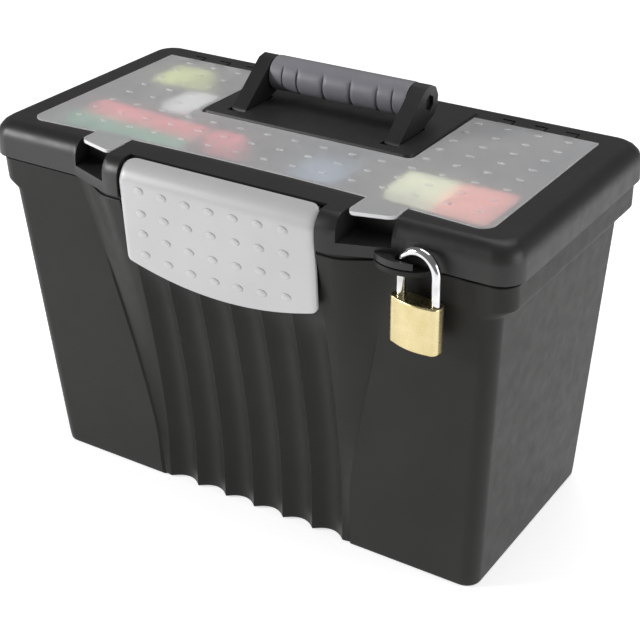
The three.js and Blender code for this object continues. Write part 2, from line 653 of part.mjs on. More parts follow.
// ---- latch: bent cover plate on a carrier with flanges, hook bar and pivot barrel ----
function latchProfile(offset, thickness) {
  const low = LATCH_LOW_Z;
  const outer = [
    [LATCH_FACE_LOW_Y, low],
    [LATCH_FACE_TOP_Y, LATCH_BEND_Z],
  ];
  for (let i = 1; i <= LATCH_BEND_STEPS; i += 1) {
    const turn = LATCH_BEND_TURN * i / LATCH_BEND_STEPS;
    outer.push([
      lerp(LATCH_FACE_TOP_Y, LATCH_LIP_Y, (1 - Math.cos(turn)) / (1 - Math.cos(LATCH_BEND_TURN))),
      lerp(LATCH_BEND_Z, LID_TOP_Z, Math.sin(turn) / Math.sin(LATCH_BEND_TURN)),
    ]);
  }
  const inward = outer.map(([y, z], i) => {
    const a = outer[Math.max(0, i - 1)];
    const b = outer[Math.min(outer.length - 1, i + 1)];
    const along = new THREE.Vector2(b[0] - a[0], b[1] - a[1]).normalize();
    return (depth) => [y + along.y * depth, z - along.x * depth];
  });
  const face = inward.map((at) => at(offset));
  const back = inward.map((at) => at(offset + thickness));
  return face.concat(back.reverse());
}

function latchFront(inset) {
  const shape = new THREE.Shape();
  const x = LATCH_HALF_X - inset;
  const arcSteps = 12;
  for (let i = 0; i <= arcSteps; i += 1) {
    const across = 2 * i / arcSteps - 1;
    const z = lerp(LATCH_LOW_Z, LATCH_SIDE_LOW_Z, across * across) + inset;
    shape[i === 0 ? 'moveTo' : 'lineTo'](across * (x - 1), z);
  }
  shape.lineTo(x, LATCH_SIDE_LOW_Z + 2 + inset);
  const cornerX = x - LATCH_CORNER_R;
  const cornerZ = LID_TOP_Z + 1 - LATCH_CORNER_R;
  shape.absarc(cornerX, cornerZ, LATCH_CORNER_R, 0, Math.PI / 2, false);
  shape.absarc(-cornerX, cornerZ, LATCH_CORNER_R, Math.PI / 2, Math.PI, false);
  shape.lineTo(-x, LATCH_SIDE_LOW_Z + 2 + inset);
  return shape;
}

function frontPlate(shape) {
  const geometry = new THREE.ExtrudeGeometry(shape, { depth: CUT, bevelEnabled: false, curveSegments: 6 });
  geometry.rotateX(Math.PI / 2);
  geometry.translate(0, LATCH_BAY_Y + CUT / 2, 0);
  return solid(geometry);
}

const latchSheet = sideBar(latchProfile(0, LATCH_PLATE_T), -LATCH_HALF_X, LATCH_HALF_X);
add('latch_plate', latchSheet.intersect(frontPlate(latchFront(0))), silver);

const backT = LATCH_PLATE_T;
const backOffset = LATCH_PLATE_T + GAP;
let carrier = sideBar(latchProfile(backOffset, backT), -LATCH_HALF_X, LATCH_HALF_X);
carrier = carrier.intersect(frontPlate(latchFront(CARRIER_INSET)));
const faceRise = LATCH_BEND_Z - LATCH_LOW_Z;
const faceAt = (z) => lerp(LATCH_FACE_LOW_Y, LATCH_FACE_TOP_Y, (z - LATCH_LOW_Z) / faceRise);
const bayAt = (z) => Math.max(RIDGE_Y - BAY_REACH * bayLift(z, BAY_LEAN), LATCH_BAY_Y);
const flangeLow = LATCH_SIDE_LOW_Z + 3;
const flangeSide = [
  [faceAt(flangeLow) + backOffset + 1, flangeLow],
  [bayAt(flangeLow) - FLANGE_INSET, flangeLow + 1],
  [bayAt(LATCH_BAY_LOW_Z + 6) - FLANGE_CLEAR, LATCH_BAY_LOW_Z + 6],
  [LATCH_BAY_Y - FLANGE_CLEAR, LATCH_BEND_Z - 2],
  [faceAt(LATCH_BEND_Z) + backOffset + 1, LATCH_BEND_Z - 2],
];
SIDES.forEach(([, sign]) => {
  const flangeOut = LATCH_HALF_X - FLANGE_INSET;
  const [x0, x1] = spanOf(sign, flangeOut - FLANGE_T, flangeOut);
  carrier = carrier.add(sideBar(flangeSide, x0, x1));
});
const hookTip = LATCH_BAY_Y - CATCH_D - HOOK_CLEAR;
const hookRoot = faceAt(HOOK_Z) + backOffset + 1;
carrier = carrier.add(box(-HOOK_HALF_X, HOOK_HALF_X, hookRoot, hookTip, HOOK_Z, HOOK_Z + HOOK_H));
const barrelHalf = LATCH_PIN_X0 + 4;
carrier = carrier.add(barX(-barrelHalf, barrelHalf, LATCH_AXIS_Y, LATCH_AXIS_Z, LATCH_BARREL_R));
const inFront = latchProfile(-CUT / 4, CUT / 4 + backOffset);
carrier = carrier.subtract(sideBar(inFront, -LATCH_HALF_X, LATCH_HALF_X));
SIDES.forEach(([, sign]) => {
  const [x0, x1] = spanOf(sign, LATCH_PIN_X0 - GAP, LATCH_PIN_X1);
  carrier = carrier.subtract(barX(x0, x1, LATCH_AXIS_Y, LATCH_AXIS_Z, LATCH_PIN_R + GAP));
});
add('latch_carrier', carrier, black);

SIDES.forEach(([side, sign]) => {
  const [x0, x1] = spanOf(sign, LATCH_PIN_X0, LATCH_PIN_X1);
  add('latch_pin_' + side, barX(x0, x1, LATCH_AXIS_Y, LATCH_AXIS_Z, LATCH_PIN_R, 12), steel);
});

// ---- carrying handle: bail with a round core, ribbed grip, pivot pins ----
function armOutline() {
  const lean = Math.atan2(GRIP_Z - HANDLE_AXIS_Z, GRIP_Y - HANDLE_AXIS_Y);
  const points = [];
  const steps = 8;
  for (let i = 0; i <= steps; i += 1) {
    const angle = lean + Math.PI / 2 + Math.PI * i / steps;
    points.push([HANDLE_AXIS_Y + FOOT_R * Math.cos(angle), HANDLE_AXIS_Z + FOOT_R * Math.sin(angle)]);
  }
  const facets = 5;
  for (let i = 0; i <= facets; i += 1) {
    const angle = lean - Math.PI / 2 + Math.PI * i / facets;
    points.push([GRIP_Y + GRIP_R * Math.cos(angle), GRIP_Z + GRIP_R * Math.sin(angle)]);
  }
  return points;
}

const armX0 = GRIP_HALF_X + GAP;
let bail = barX(-armX0 - 1, armX0 + 1, GRIP_Y, GRIP_Z, CORE_R);
SIDES.forEach(([, sign]) => {
  const [x0, x1] = spanOf(sign, armX0, armX0 + ARM_T);
  bail = bail.add(sideBar(armOutline(), x0, x1));
  bail = bail.subtract(barX(x0 - 1, x1 + 1, HANDLE_AXIS_Y, HANDLE_AXIS_Z, HANDLE_PIN_R + GAP));
  const hexOut = sign * (armX0 + ARM_T);
  const [h0, h1] = sign > 0 ? [hexOut - 3, hexOut + 1] : [hexOut - 1, hexOut + 3];
  bail = bail.subtract(barX(h0, h1, GRIP_Y, GRIP_Z, CORE_R, 6));
});
add('handle_bail', bail, black);

// grip: a lathed sleeve, seven swells parted by shallow grooves
const gripPoints = [];
const gripPoint = (radius, x) => gripPoints.push(new THREE.Vector2(radius, x));
gripPoint(GRIP_BORE_R, -GRIP_HALF_X);
gripPoint(GRIP_END_R, -GRIP_HALF_X);
const lastEdge = GRIP_EDGES.length - 1;
for (let i = 0; i < lastEdge; i += 1) {
  gripPoint(GRIP_R, GRIP_EDGES[i] + GRIP_GROOVE);
  gripPoint(GRIP_R, GRIP_EDGES[i + 1] - GRIP_GROOVE);
  gripPoint(i + 1 < lastEdge ? GRIP_R - GRIP_GROOVE : GRIP_END_R, GRIP_EDGES[i + 1]);
}
gripPoint(GRIP_BORE_R, GRIP_HALF_X);
gripPoints.push(gripPoints[0].clone());
const gripGeometry = new THREE.LatheGeometry(gripPoints, 24);
gripGeometry.rotateZ(-Math.PI / 2);
gripGeometry.translate(0, GRIP_Y, GRIP_Z);
add('handle_grip', solid(gripGeometry), gripGrey);

SIDES.forEach(([side, sign]) => {
  const [x0, x1] = spanOf(sign, armX0 - HANDLE_PIN_REACH, armX0 + ARM_T + HANDLE_PIN_REACH);
  add('handle_pin_' + side, barX(x0, x1, HANDLE_AXIS_Y, HANDLE_AXIS_Z, HANDLE_PIN_R), steel);
});

// ---- padlock ----
const legXs = [LEG_X, LEG_X + LEG_SPACING];
const lockLeft = LOCK_X - LOCK_W / 2;
const lockFront = LEG_Y - LOCK_T / 2;
const lockShape = rectShape(lockLeft, lockLeft + LOCK_W, lockFront, lockFront + LOCK_T, LOCK_ROUND);

// the padlock hangs turned a little about the leg that stays in the lugs
function hung(body) {
  const turned = body.translate([-LEG_X, -LEG_Y, 0]).rotate([0, 0, LOCK_TURN_DEG]);
  return turned.translate([LEG_X, LEG_Y, 0]);
}

let lock = plate(lockShape, LOCK_LOW_Z, LOCK_LOW_Z + LOCK_H, 5);
legXs.forEach((x) => {
  lock = lock.subtract(barZ(x, LEG_Y, LOCK_BORE_LOW_Z, LOCK_LOW_Z + LOCK_H + 1, SHACKLE_R + GAP));
});
lock = lock.subtract(barZ(LOCK_X, LEG_Y, LOCK_LOW_Z - 1, LOCK_LOW_Z + PLUG_H + GAP, PLUG_R + GAP));
add('padlock_body', hung(lock), brass);

let plug = barZ(LOCK_X, LEG_Y, LOCK_LOW_Z, LOCK_LOW_Z + PLUG_H, PLUG_R);
const keyLeft = LOCK_X - KEYWAY_L / 2;
const keyFront = LEG_Y - KEYWAY_W / 2;
const keyTop = LOCK_LOW_Z + KEYWAY_D;
const keyway = box(keyLeft, keyLeft + KEYWAY_L, keyFront, keyFront + KEYWAY_W, LOCK_LOW_Z - 1, keyTop);
plug = plug.subtract(keyway);
add('padlock_plug', hung(plug), brass);

// shackle: a round section swept up one leg, over the arch and down the other
const bendR = LEG_SPACING / 2;
const archZ = SHACKLE_TOP_Z - SHACKLE_R - bendR;
const p = (x, z) => new THREE.Vector3(x, LEG_Y, z);
const archPoints = [];
const archSteps = 12;
for (let i = 0; i <= archSteps; i += 1) {
  const angle = Math.PI - Math.PI * i / archSteps;
  archPoints.push(p(LOCK_X + bendR * Math.cos(angle), archZ + bendR * Math.sin(angle)));
}

// rings of the section at each point of the path, each square to the path there
function sweptBar(points, radius, sides) {
  const position = [];
  const index = [];
  points.forEach((at, k) => {
    const before = points[Math.max(0, k - 1)];
    const after = points[Math.min(points.length - 1, k + 1)];
    const along = after.clone().sub(before).normalize();
    const across = new THREE.Vector3(0, 1, 0);
    const up = new THREE.Vector3().crossVectors(across, along).normalize();
    for (let i = 0; i < sides; i += 1) {
      const angle = 2 * Math.PI * i / sides;
      const q = at.clone().addScaledVector(across, radius * Math.cos(angle));
      q.addScaledVector(up, radius * Math.sin(angle));
      position.push(q.x, q.y, q.z);
    }
  });
  const last = (points.length - 1) * sides;
  for (let k = 0; k + 1 < points.length; k += 1) {
    for (let i = 0; i < sides; i += 1) {
      const a = k * sides + i;
      const b = k * sides + (i + 1) % sides;
      index.push(a, a + sides, b + sides);
      index.push(a, b + sides, b);
    }
  }
  for (let i = 1; i + 1 < sides; i += 1) {
    index.push(0, i, i + 1);
    index.push(last, last + i + 1, last + i);
  }
  const geometry = new THREE.BufferGeometry();
  geometry.setAttribute('position', new THREE.BufferAttribute(new Float32Array(position), 3));
  geometry.setIndex(index);
  return solid(geometry);
}

const barPoints = [p(legXs[0], LEG_LOW_Z)].concat(archPoints, [p(legXs[1], LEG_LOW_Z)]);
add('padlock_shackle', hung(sweptBar(barPoints, SHACKLE_R, SHACKLE_SIDES)), steel);

export default group;
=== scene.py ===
"""Portable storage caddy: moulded bin, organiser lid with a frosted cover, folded
carrying handle, wide front latch and a brass padlock on the hasp.
Lengths below are millimetres in the part's own frame; meshes are made in metres."""

import math

import bmesh
import bpy
import numpy as np
from mathutils import Matrix, Vector


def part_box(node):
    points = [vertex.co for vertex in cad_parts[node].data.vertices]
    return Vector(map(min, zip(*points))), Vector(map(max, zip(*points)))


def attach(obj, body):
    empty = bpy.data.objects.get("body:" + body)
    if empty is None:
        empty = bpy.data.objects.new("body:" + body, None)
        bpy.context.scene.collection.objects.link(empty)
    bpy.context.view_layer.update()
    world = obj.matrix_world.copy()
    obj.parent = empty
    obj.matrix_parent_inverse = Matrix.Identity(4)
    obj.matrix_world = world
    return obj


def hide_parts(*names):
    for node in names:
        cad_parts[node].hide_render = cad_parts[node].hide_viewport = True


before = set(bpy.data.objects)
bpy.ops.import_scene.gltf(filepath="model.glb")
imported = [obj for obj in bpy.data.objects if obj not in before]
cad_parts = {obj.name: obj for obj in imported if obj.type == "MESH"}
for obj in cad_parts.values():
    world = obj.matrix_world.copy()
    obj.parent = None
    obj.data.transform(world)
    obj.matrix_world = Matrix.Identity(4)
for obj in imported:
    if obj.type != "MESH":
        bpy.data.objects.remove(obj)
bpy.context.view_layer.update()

MM = 0.001
TAU = 2 * math.pi
SIDES = (("left", -1), ("right", 1))


def node_box(node):
    """Lowest and highest corner of a CAD node, in millimetres."""
    low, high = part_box(node)
    return low / MM, high / MM


# ---------------------------------------------------------------- meshes
def shade(mesh, sharp_deg):
    """Smooth shading with sharp edges wherever faces meet at more than the angle."""
    bm = bmesh.new()
    bm.from_mesh(mesh)
    bmesh.ops.recalc_face_normals(bm, faces=bm.faces)
    limit = math.radians(sharp_deg)
    for face in bm.faces:
        face.smooth = True
    for edge in bm.edges:
        edge.smooth = len(edge.link_faces) == 2 and edge.calc_face_angle(0) < limit
    bm.to_mesh(mesh)
    bm.free()


def link(name, mesh):
    """A new object in the scene around the mesh."""
    obj = bpy.data.objects.new(name, mesh)
    bpy.context.scene.collection.objects.link(obj)
    return obj


def build(name, vertices, faces, sharp_deg=35):
    """An object from points in millimetres and their faces."""
    mesh = bpy.data.meshes.new(name)
    mesh.from_pydata([tuple(float(c) * MM for c in v) for v in vertices], [], faces)
    mesh.update()
    shade(mesh, sharp_deg)
    return link(name, mesh)


def settle(obj, sharp_deg=35):
    """Turns the object's modifiers into its mesh and shades it."""
    graph = bpy.context.evaluated_depsgraph_get()
    mesh = bpy.data.meshes.new_from_object(obj.evaluated_get(graph))
    obj.modifiers.clear()
    obj.data = mesh
    shade(mesh, sharp_deg)
    return obj


def bevel(obj, width, segments=3, angle=32, sharp_deg=35):
    """Rounds the edges that turn by more than the angle, applied to the mesh."""
    mod = obj.modifiers.new("edge", "BEVEL")
    mod.width = width * MM
    mod.segments = segments
    mod.limit_method = "ANGLE"
    mod.angle_limit = math.radians(angle)
    mod.use_clamp_overlap = True
    mod.miter_outer = "MITER_ARC"
    settle(obj, sharp_deg)
    weigh(obj)
    return obj


def weigh(obj):
    """Evens out the shading over large faces."""
    mod = obj.modifiers.new("even", "WEIGHTED_NORMAL")
    mod.keep_sharp = True
    return obj


def combine(obj, other, operation):
    """Boolean of obj with other, which is used up."""
    mod = obj.modifiers.new("cut", "BOOLEAN")
    mod.operation = operation
    mod.solver = "MANIFOLD"
    mod.object = other
    settle(obj)
    bpy.data.objects.remove(other)
    return obj


def join(name, objects, sharp_deg=35):
    """One object from several, each still its own closed skin."""
    bm = bmesh.new()
    for obj in objects:
        bm.from_mesh(obj.data)
        bpy.data.objects.remove(obj)
    mesh = bpy.data.meshes.new(name)
    bm.to_mesh(mesh)
    bm.free()
    shade(mesh, sharp_deg)
    return link(name, mesh)


def ring_faces(rings, count):
    """Quads between neighbouring rings of the same closed point count."""
    faces = []
    for k in range(rings - 1):
        for i in range(count):
            a, b = k * count + i, k * count + (i + 1) % count
            faces.append((a, b, b + count, a + count))
    return faces


def loft(name, rings, sharp_deg=35):
    """Closed skin over a stack of rings, capped at both ends."""
    count = len(rings[0])
    vertices = [point for ring in rings for point in ring]
    faces = ring_faces(len(rings), count)
    faces.append(tuple(reversed(range(count))))
    faces.append(tuple(range(len(vertices) - count, len(vertices))))
    return build(name, vertices, faces, sharp_deg)


def prism(name, outline, low, high, place, sharp_deg=35):
    """Outline extruded from low to high; place(u, v, depth) gives the point."""
    rings = [[place(u, v, depth) for u, v in outline] for depth in (low, high)]
    return loft(name, rings, sharp_deg)


def in_plan(u, v, depth):
    """Outline seen from above, extruded up."""
    return (u, v, depth)


def in_side(u, v, depth):
    """Outline seen from the side, extruded along X."""
    return (depth, u, v)


ROD_END_STEPS = 4


def rod(name, start, end, radius, sides=32, rounding=0.0):
    """Round bar between two points, its ends rounded over."""
    a, b = Vector(start), Vector(end)
    along = (b - a).normalized()
    side = along.orthogonal().normalized()
    up = along.cross(side)
    profile = [(radius, 0.0)]
    if rounding:
        turns = [math.pi / 2 * k / ROD_END_STEPS for k in range(ROD_END_STEPS + 1)]
        profile = [(radius - rounding * (1 - math.sin(t)), rounding * (1 - math.cos(t)))
                   for t in turns]
    stations = [(a + along * d, r) for r, d in profile]
    stations += [(b - along * d, r) for r, d in reversed(profile)]
    rings = [[c + (side * math.cos(TAU * i / sides) + up * math.sin(TAU * i / sides)) * r
              for i in range(sides)] for c, r in stations]
    return loft(name, rings)


def ovals(name, spots, half_a, half_b, height, axes, rings_n=5, sides=20):
    """Closed oval domes at each spot; axes(spot) gives the point and its two tangents."""
    vertices, faces = [], []
    for spot in spots:
        centre, ta, tb = axes(spot)
        normal = ta.cross(tb).normalized()
        base = len(vertices)
        for k in range(-rings_n, rings_n + 1):
            lift = math.sin(math.pi / 2 * k / rings_n)
            wide = math.cos(math.pi / 2 * k / rings_n)
            if abs(k) == rings_n:
                vertices.append(centre + normal * height * lift)
                continue
            for i in range(sides):
                t = TAU * i / sides
                vertices.append(centre + ta * half_a * wide * math.cos(t)
                                + tb * half_b * wide * math.sin(t) + normal * height * lift)
        first = base + 1
        last = len(vertices) - 1
        for i in range(sides):
            faces.append((base, first + (i + 1) % sides, first + i))
            tail = last - sides
            faces.append((last, tail + i, tail + (i + 1) % sides))
        for k in range(2 * rings_n - 2):
            for i in range(sides):
                a, b = first + k * sides + i, first + k * sides + (i + 1) % sides
                faces.append((a, b, b + sides, a + sides))
    return build(name, vertices, faces, 60)


def refine(node, edge=0.5, segments=2, flat_deg=1.5, sharp_deg=35, name=None):
    """A finished copy of a CAD node: clean faces, rounded edges, even shading."""
    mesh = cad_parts[node].data.copy()
    bm = bmesh.new()
    bm.from_mesh(mesh)
    bmesh.ops.remove_doubles(bm, verts=bm.verts, dist=0.01 * MM)
    bmesh.ops.dissolve_limit(bm, angle_limit=math.radians(flat_deg),
                             verts=bm.verts, edges=bm.edges)
    bm.to_mesh(mesh)
    bm.free()
    mesh.materials.clear()
    if mesh.has_custom_normals:
        mesh.attributes.remove(mesh.attributes["custom_normal"])
    obj = link(name or node + "_finish", mesh)
    if edge:
        bevel(obj, edge, segments, sharp_deg=sharp_deg)
    else:
        shade(mesh, sharp_deg)
    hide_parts(node)
    return obj


# ---------------------------------------------------------------- materials
def nodes_of(name):
    """A new material with its tree, its shader and the object's coordinates."""
    mat = bpy.data.materials.new(name)
    mat.use_nodes = True
    tree = mat.node_tree
    shader = tree.nodes["Principled BSDF"]
    coords = tree.nodes.new("ShaderNodeTexCoord").outputs["Object"]
    return mat, tree, shader, coords


def noise(tree, coords, scale, detail=3.0, rough=0.5, stretch=None):
    """A noise value over the object, stretched along its axes where asked."""
    if stretch:
        mapping = tree.nodes.new("ShaderNodeMapping")
        mapping.inputs["Scale"].default_value = stretch
        tree.links.new(coords, mapping.inputs["Vector"])
        coords = mapping.outputs["Vector"]
    tex = tree.nodes.new("ShaderNodeTexNoise")
    tex.inputs["Scale"].default_value = scale
    tex.inputs["Detail"].default_value = detail
    tex.inputs["Roughness"].default_value = rough
    tree.links.new(coords, tex.inputs["Vector"])
    return tex.outputs["Fac"]


def tint(tree, value, stops, target):
    """Colours the target from the value through (position, colour) stops."""
    ramp = tree.nodes.new("ShaderNodeValToRGB")
    ramp.color_ramp.elements[0].position = stops[0][0]
    ramp.color_ramp.elements[0].color = (*stops[0][1], 1)
    ramp.color_ramp.elements[1].position = stops[-1][0]
    ramp.color_ramp.elements[1].color = (*stops[-1][1], 1)
    for position, color in stops[1:-1]:
        ramp.color_ramp.elements.new(position).color = (*color, 1)
    tree.links.new(value, ramp.inputs["Fac"])
    tree.links.new(ramp.outputs["Color"], target)


NOISE_LOW, NOISE_HIGH = 0.3, 0.7    # the range that most of a noise value lies in


def spread(tree, value, low, high, target):
    """Maps the middle of a noise value onto low to high at the target."""
    out = tree.nodes.new("ShaderNodeMapRange")
    out.inputs["From Min"].default_value = NOISE_LOW
    out.inputs["From Max"].default_value = NOISE_HIGH
    out.inputs["To Min"].default_value = low
    out.inputs["To Max"].default_value = high
    tree.links.new(value, out.inputs["Value"])
    tree.links.new(out.outputs["Result"], target)


def relief(tree, shader, layers):
    """Bump built from (height, depth in mm, strength) layers."""
    normal = None
    for value, depth, strength in layers:
        bump = tree.nodes.new("ShaderNodeBump")
        bump.inputs["Distance"].default_value = depth * MM
        bump.inputs["Strength"].default_value = strength
        tree.links.new(value, bump.inputs["Height"])
        if normal is not None:
            tree.links.new(normal, bump.inputs["Normal"])
        normal = bump.outputs["Normal"]
    tree.links.new(normal, shader.inputs["Normal"])


def moulded(name, dark, light, rough, grain=1500, grain_depth=0.05, gloss=0.5, sink=0.15):
    """Moulded plastic: fine spark grain, faint flow clouds, handling scuffs in the sheen."""
    mat, tree, shader, coords = nodes_of(name)
    clouds = noise(tree, coords, 14, 4)
    tint(tree, clouds, [(0.35, dark), (0.65, light)], shader.inputs["Base Color"])
    scuff = noise(tree, coords, 70, 6, 0.65)
    spread(tree, scuff, rough[0], rough[1], shader.inputs["Roughness"])
    fine = noise(tree, coords, grain, 2)
    slow = noise(tree, coords, 22, 2)
    relief(tree, shader, [(slow, sink, 0.25), (fine, grain_depth, 0.5)])
    shader.inputs["Specular IOR Level"].default_value = gloss
    return mat


def metal(name, dark, light, rough, stretch, lines=260):
    """Polished or brushed metal with fine drawn lines and slight tarnish."""
    mat, tree, shader, coords = nodes_of(name)
    shader.inputs["Metallic"].default_value = 1.0
    stain = noise(tree, coords, 90, 5, 0.6)
    tint(tree, stain, [(0.3, dark), (0.7, light)], shader.inputs["Base Color"])
    brush = noise(tree, coords, lines, 3, 0.7, stretch)
    spread(tree, brush, rough[0], rough[1], shader.inputs["Roughness"])
    relief(tree, shader, [(brush, 0.03, 0.35)])
    return mat


def frosted(name, clearness):
    """Clear moulded sheet with a fine matt grain, through which the tray shows."""
    mat, tree, shader, coords = nodes_of(name)
    haze = noise(tree, coords, 24, 4)
    tint(tree, haze, [(0.3, (0.80, 0.81, 0.82)), (0.7, (0.88, 0.88, 0.88))],
         shader.inputs["Base Color"])
    spread(tree, noise(tree, coords, 60, 5), 0.38, 0.46, shader.inputs["Roughness"])
    relief(tree, shader, [(noise(tree, coords, 1300, 2), 0.05, 0.45)])
    shader.inputs["Transmission Weight"].default_value = clearness
    shader.inputs["IOR"].default_value = 1.3
    return mat


GLOW = 1.45    # painted light: the cards glow in their own colour, in place of the light that would reach them and pass back up through the matt sheet


def paper(name, color):
    """Stacked paper or card: faint fibres, page lines down the sides, and a painted glow in its own
    colour.
    """
    mat, tree, shader, coords = nodes_of(name)
    fibre = noise(tree, coords, 400, 5, 0.6, (1, 1, 6))
    shadow = tuple(c * 0.86 for c in color)
    tint(tree, fibre, [(0.35, shadow), (0.6, color)], shader.inputs["Base Color"])
    spread(tree, fibre, 0.6, 0.8, shader.inputs["Roughness"])
    relief(tree, shader, [(fibre, 0.06, 0.4)])
    # painted light: the card is made to glow in its own colour, though it is no lamp
    shader.inputs["Emission Color"].default_value = (*color, 1)
    shader.inputs["Emission Strength"].default_value = GLOW
    return mat


CHARCOAL = moulded("charcoal_moulding", (0.0165, 0.0165, 0.0150), (0.0205, 0.0205, 0.0188),
                   (0.38, 0.48), gloss=0.18)
LID_CHARCOAL = moulded("lid_moulding", (0.0145, 0.0145, 0.0135), (0.0185, 0.0185, 0.0172),
                       (0.36, 0.47), gloss=0.42)
BLACK = moulded("black_moulding", (0.011, 0.011, 0.011), (0.016, 0.016, 0.016),
                (0.36, 0.48))
TRAY = moulded("tray_moulding", (0.016, 0.016, 0.016), (0.024, 0.024, 0.024), (0.45, 0.6))
SILVER = moulded("silver_moulding", (0.50, 0.50, 0.505), (0.54, 0.54, 0.545),
                 (0.30, 0.38), grain=1900, grain_depth=0.03, sink=0.08)
GRIP = moulded("grip_moulding", (0.20, 0.197, 0.22), (0.24, 0.236, 0.262),
               (0.42, 0.55), grain=1200, grain_depth=0.08)
STEEL = metal("polished_steel", (0.56, 0.56, 0.57), (0.78, 0.78, 0.79), (0.08, 0.16),
              (6, 6, 0.4))
BRASS = metal("brushed_brass", (0.62, 0.52, 0.26), (0.70, 0.60, 0.35), (0.24, 0.34),
              (1, 1, 14))
COVER_LOOK = frosted("frosted_cover", 0.62)
OVAL_LOOK = frosted("frosted_oval", 0.45)
RIM_LOOK = frosted("frosted_rim", 0.15)


def dress(obj, material, body):
    """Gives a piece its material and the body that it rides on."""
    obj.data.materials.clear()
    obj.data.materials.append(material)
    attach(obj, body)
    return obj


# ---------------------------------------------------------------- bin
GAP = 0.3
CENTRE_Y = 1.8
BASE_HALF_X, BASE_HALF_Y = 192, 91.5
WALL_HALF_X, WALL_HALF_Y, WALL_SHIFT_Y = 205.5, 99.5, 2
COLLAR_UNDER_Z, COLLAR_LOW_Z, BIN_TOP_Z = 230, 238, 258.2
COLLAR_HALF_X, COLLAR_FRONT_Y, COLLAR_BACK_Y = 215, -107, 106
WALL_R, COLLAR_R, MIN_R = 12, 14, 4
FOOT_ROUND = 2.5
SHELL = 3
BAY_START_Z = 40
BAY_RISE = BIN_TOP_Z - BAY_START_Z
RIDGE_Y, BAY_REACH, BAY_LEAN = -89, 36, 1.5
FACE_STEP, FACE_GROW = 0.5, 11
FLUTE_PITCH, FLUTES, FLUTE_DEPTH = 27, 6, 6.5
FLUTE_FADE_Z, FLUTE_END_Z = 175, 214
RIDGE_HALF_X = FLUTE_PITCH * FLUTES / 2
BAY_EDGE_X, BAY_EDGE_GROW, BAY_EDGE_LEAN = 88, 47, 1.3
GROOVE_DEPTH, GROOVE_MIN, GROOVE_STEP = 1.5, 0.2, 1.2
RIDGE_SOFT = 0.03
FLANK_CONVEX = 1.35
MERGE_LOW_Z, MERGE_HIGH_Z = 175, 222    # where the flank's crease melts into the wall
SEAM_Z, SEAM_INSET = 255.2, 1.6    # the shadow gap under the lid's skirt
LATCH_BAY_HALF_X, LATCH_BAY_Y, LATCH_BAY_LOW_Z = 82.3, -116.5, 218
FLUTE_STEPS = 16
FLANK_STEPS = 10
CORNER_STEPS = 10


def mix(a, b, t):
    """The value at t on the way from a to b."""
    return a + (b - a) * t


def clamp(value, low=0.0, high=1.0):
    """The value, kept between low and high."""
    return max(low, min(high, value))


def ease(t):
    """Smooth step from 0 to 1."""
    t = clamp(t)
    return t * t * (3 - 2 * t)


def bay_lift(z, lean):
    """How far the bay has come forward at a height, from 0 to 1."""
    return max(0.0, (z - BAY_START_Z) / BAY_RISE) ** lean


def wall_size(z):
    """Half length, front, back and corner radius of the bin's outline at one height."""
    wall = min(z, COLLAR_UNDER_Z) / COLLAR_UNDER_Z
    collar = ease((z - COLLAR_UNDER_Z) / (COLLAR_LOW_Z - COLLAR_UNDER_Z))
    half_y = mix(BASE_HALF_Y, WALL_HALF_Y, wall)
    return (mix(mix(BASE_HALF_X, WALL_HALF_X, wall), COLLAR_HALF_X, collar),
            mix(CENTRE_Y - BASE_HALF_Y, COLLAR_FRONT_Y, min(1, z / BIN_TOP_Z)),
            mix(CENTRE_Y + half_y - WALL_SHIFT_Y * wall, COLLAR_BACK_Y, collar),
            mix(WALL_R, COLLAR_R, collar))


def arc(cx, cy, radius, start, steps=CORNER_STEPS, sweep=math.pi / 2):
    """Points round a corner, counter-clockwise from the start angle."""
    return [(cx + radius * math.cos(start + sweep * i / steps),
             cy + radius * math.sin(start + sweep * i / steps)) for i in range(steps + 1)]


def flute_dip(across):
    """Depth of a flute from 0 at its ridges to 1, with the ridges softened."""
    bowl = 1 - (2 * across - 1) ** 2
    soft = math.hypot(bowl, RIDGE_SOFT) - RIDGE_SOFT
    return soft / (math.hypot(1, RIDGE_SOFT) - RIDGE_SOFT)


def bay_points(z, y_wall, inset, fluted):
    """The bin's front edge at one height: wall, groove, flank, fluted face and back again."""
    lift = bay_lift(z, BAY_LEAN)
    y_ridge = RIDGE_Y - BAY_REACH * lift + inset
    face_x = RIDGE_HALF_X + FACE_STEP + FACE_GROW * lift - (0 if fluted else inset)
    edge_x = BAY_EDGE_X + BAY_EDGE_GROW * bay_lift(z, BAY_EDGE_LEAN) - inset
    merge = ease((z - MERGE_LOW_Z) / (MERGE_HIGH_Z - MERGE_LOW_Z))
    groove = (GROOVE_MIN + GROOVE_DEPTH * (1 - min(1, lift))) * (1 - merge)
    depth = FLUTE_DEPTH * ease((FLUTE_END_Z - z) / (FLUTE_END_Z - FLUTE_FADE_Z))
    face = []
    for i in range(FLUTES):
        for k in range(FLUTE_STEPS):
            across = 0.5 - 0.5 * math.cos(math.pi * k / FLUTE_STEPS)
            face.append((-RIDGE_HALF_X + (i + across) * FLUTE_PITCH,
                         y_ridge + depth * flute_dip(across)))
    face.append((RIDGE_HALF_X, y_ridge))
    if not fluted:
        face = [(x * face_x / RIDGE_HALF_X, y_ridge + depth) for x, _ in face]
    outer = [(-edge_x - GROOVE_STEP, y_wall)]
    low, high = (-edge_x, y_wall + groove), (-face_x, face[0][1])
    for k in range(FLANK_STEPS + 1):
        t = k / FLANK_STEPS
        rise = mix(1 - (1 - t) ** FLANK_CONVEX, ease(t), merge)
        outer.append((mix(low[0], high[0], t), mix(low[1], high[1], rise)))
    shoulder = min(LATCH_BAY_HALF_X + 0.1, (RIDGE_HALF_X + face_x) / 2)
    outer.append((-shoulder, high[1]))
    points = outer + face + [(-x, y) for x, y in reversed(outer)]
    if z >= LATCH_BAY_LOW_Z:
        back = LATCH_BAY_Y + (0 if fluted else SHELL)
        points = [(x, max(y, back) if abs(x) <= LATCH_BAY_HALF_X else y) for x, y in points]
    return points


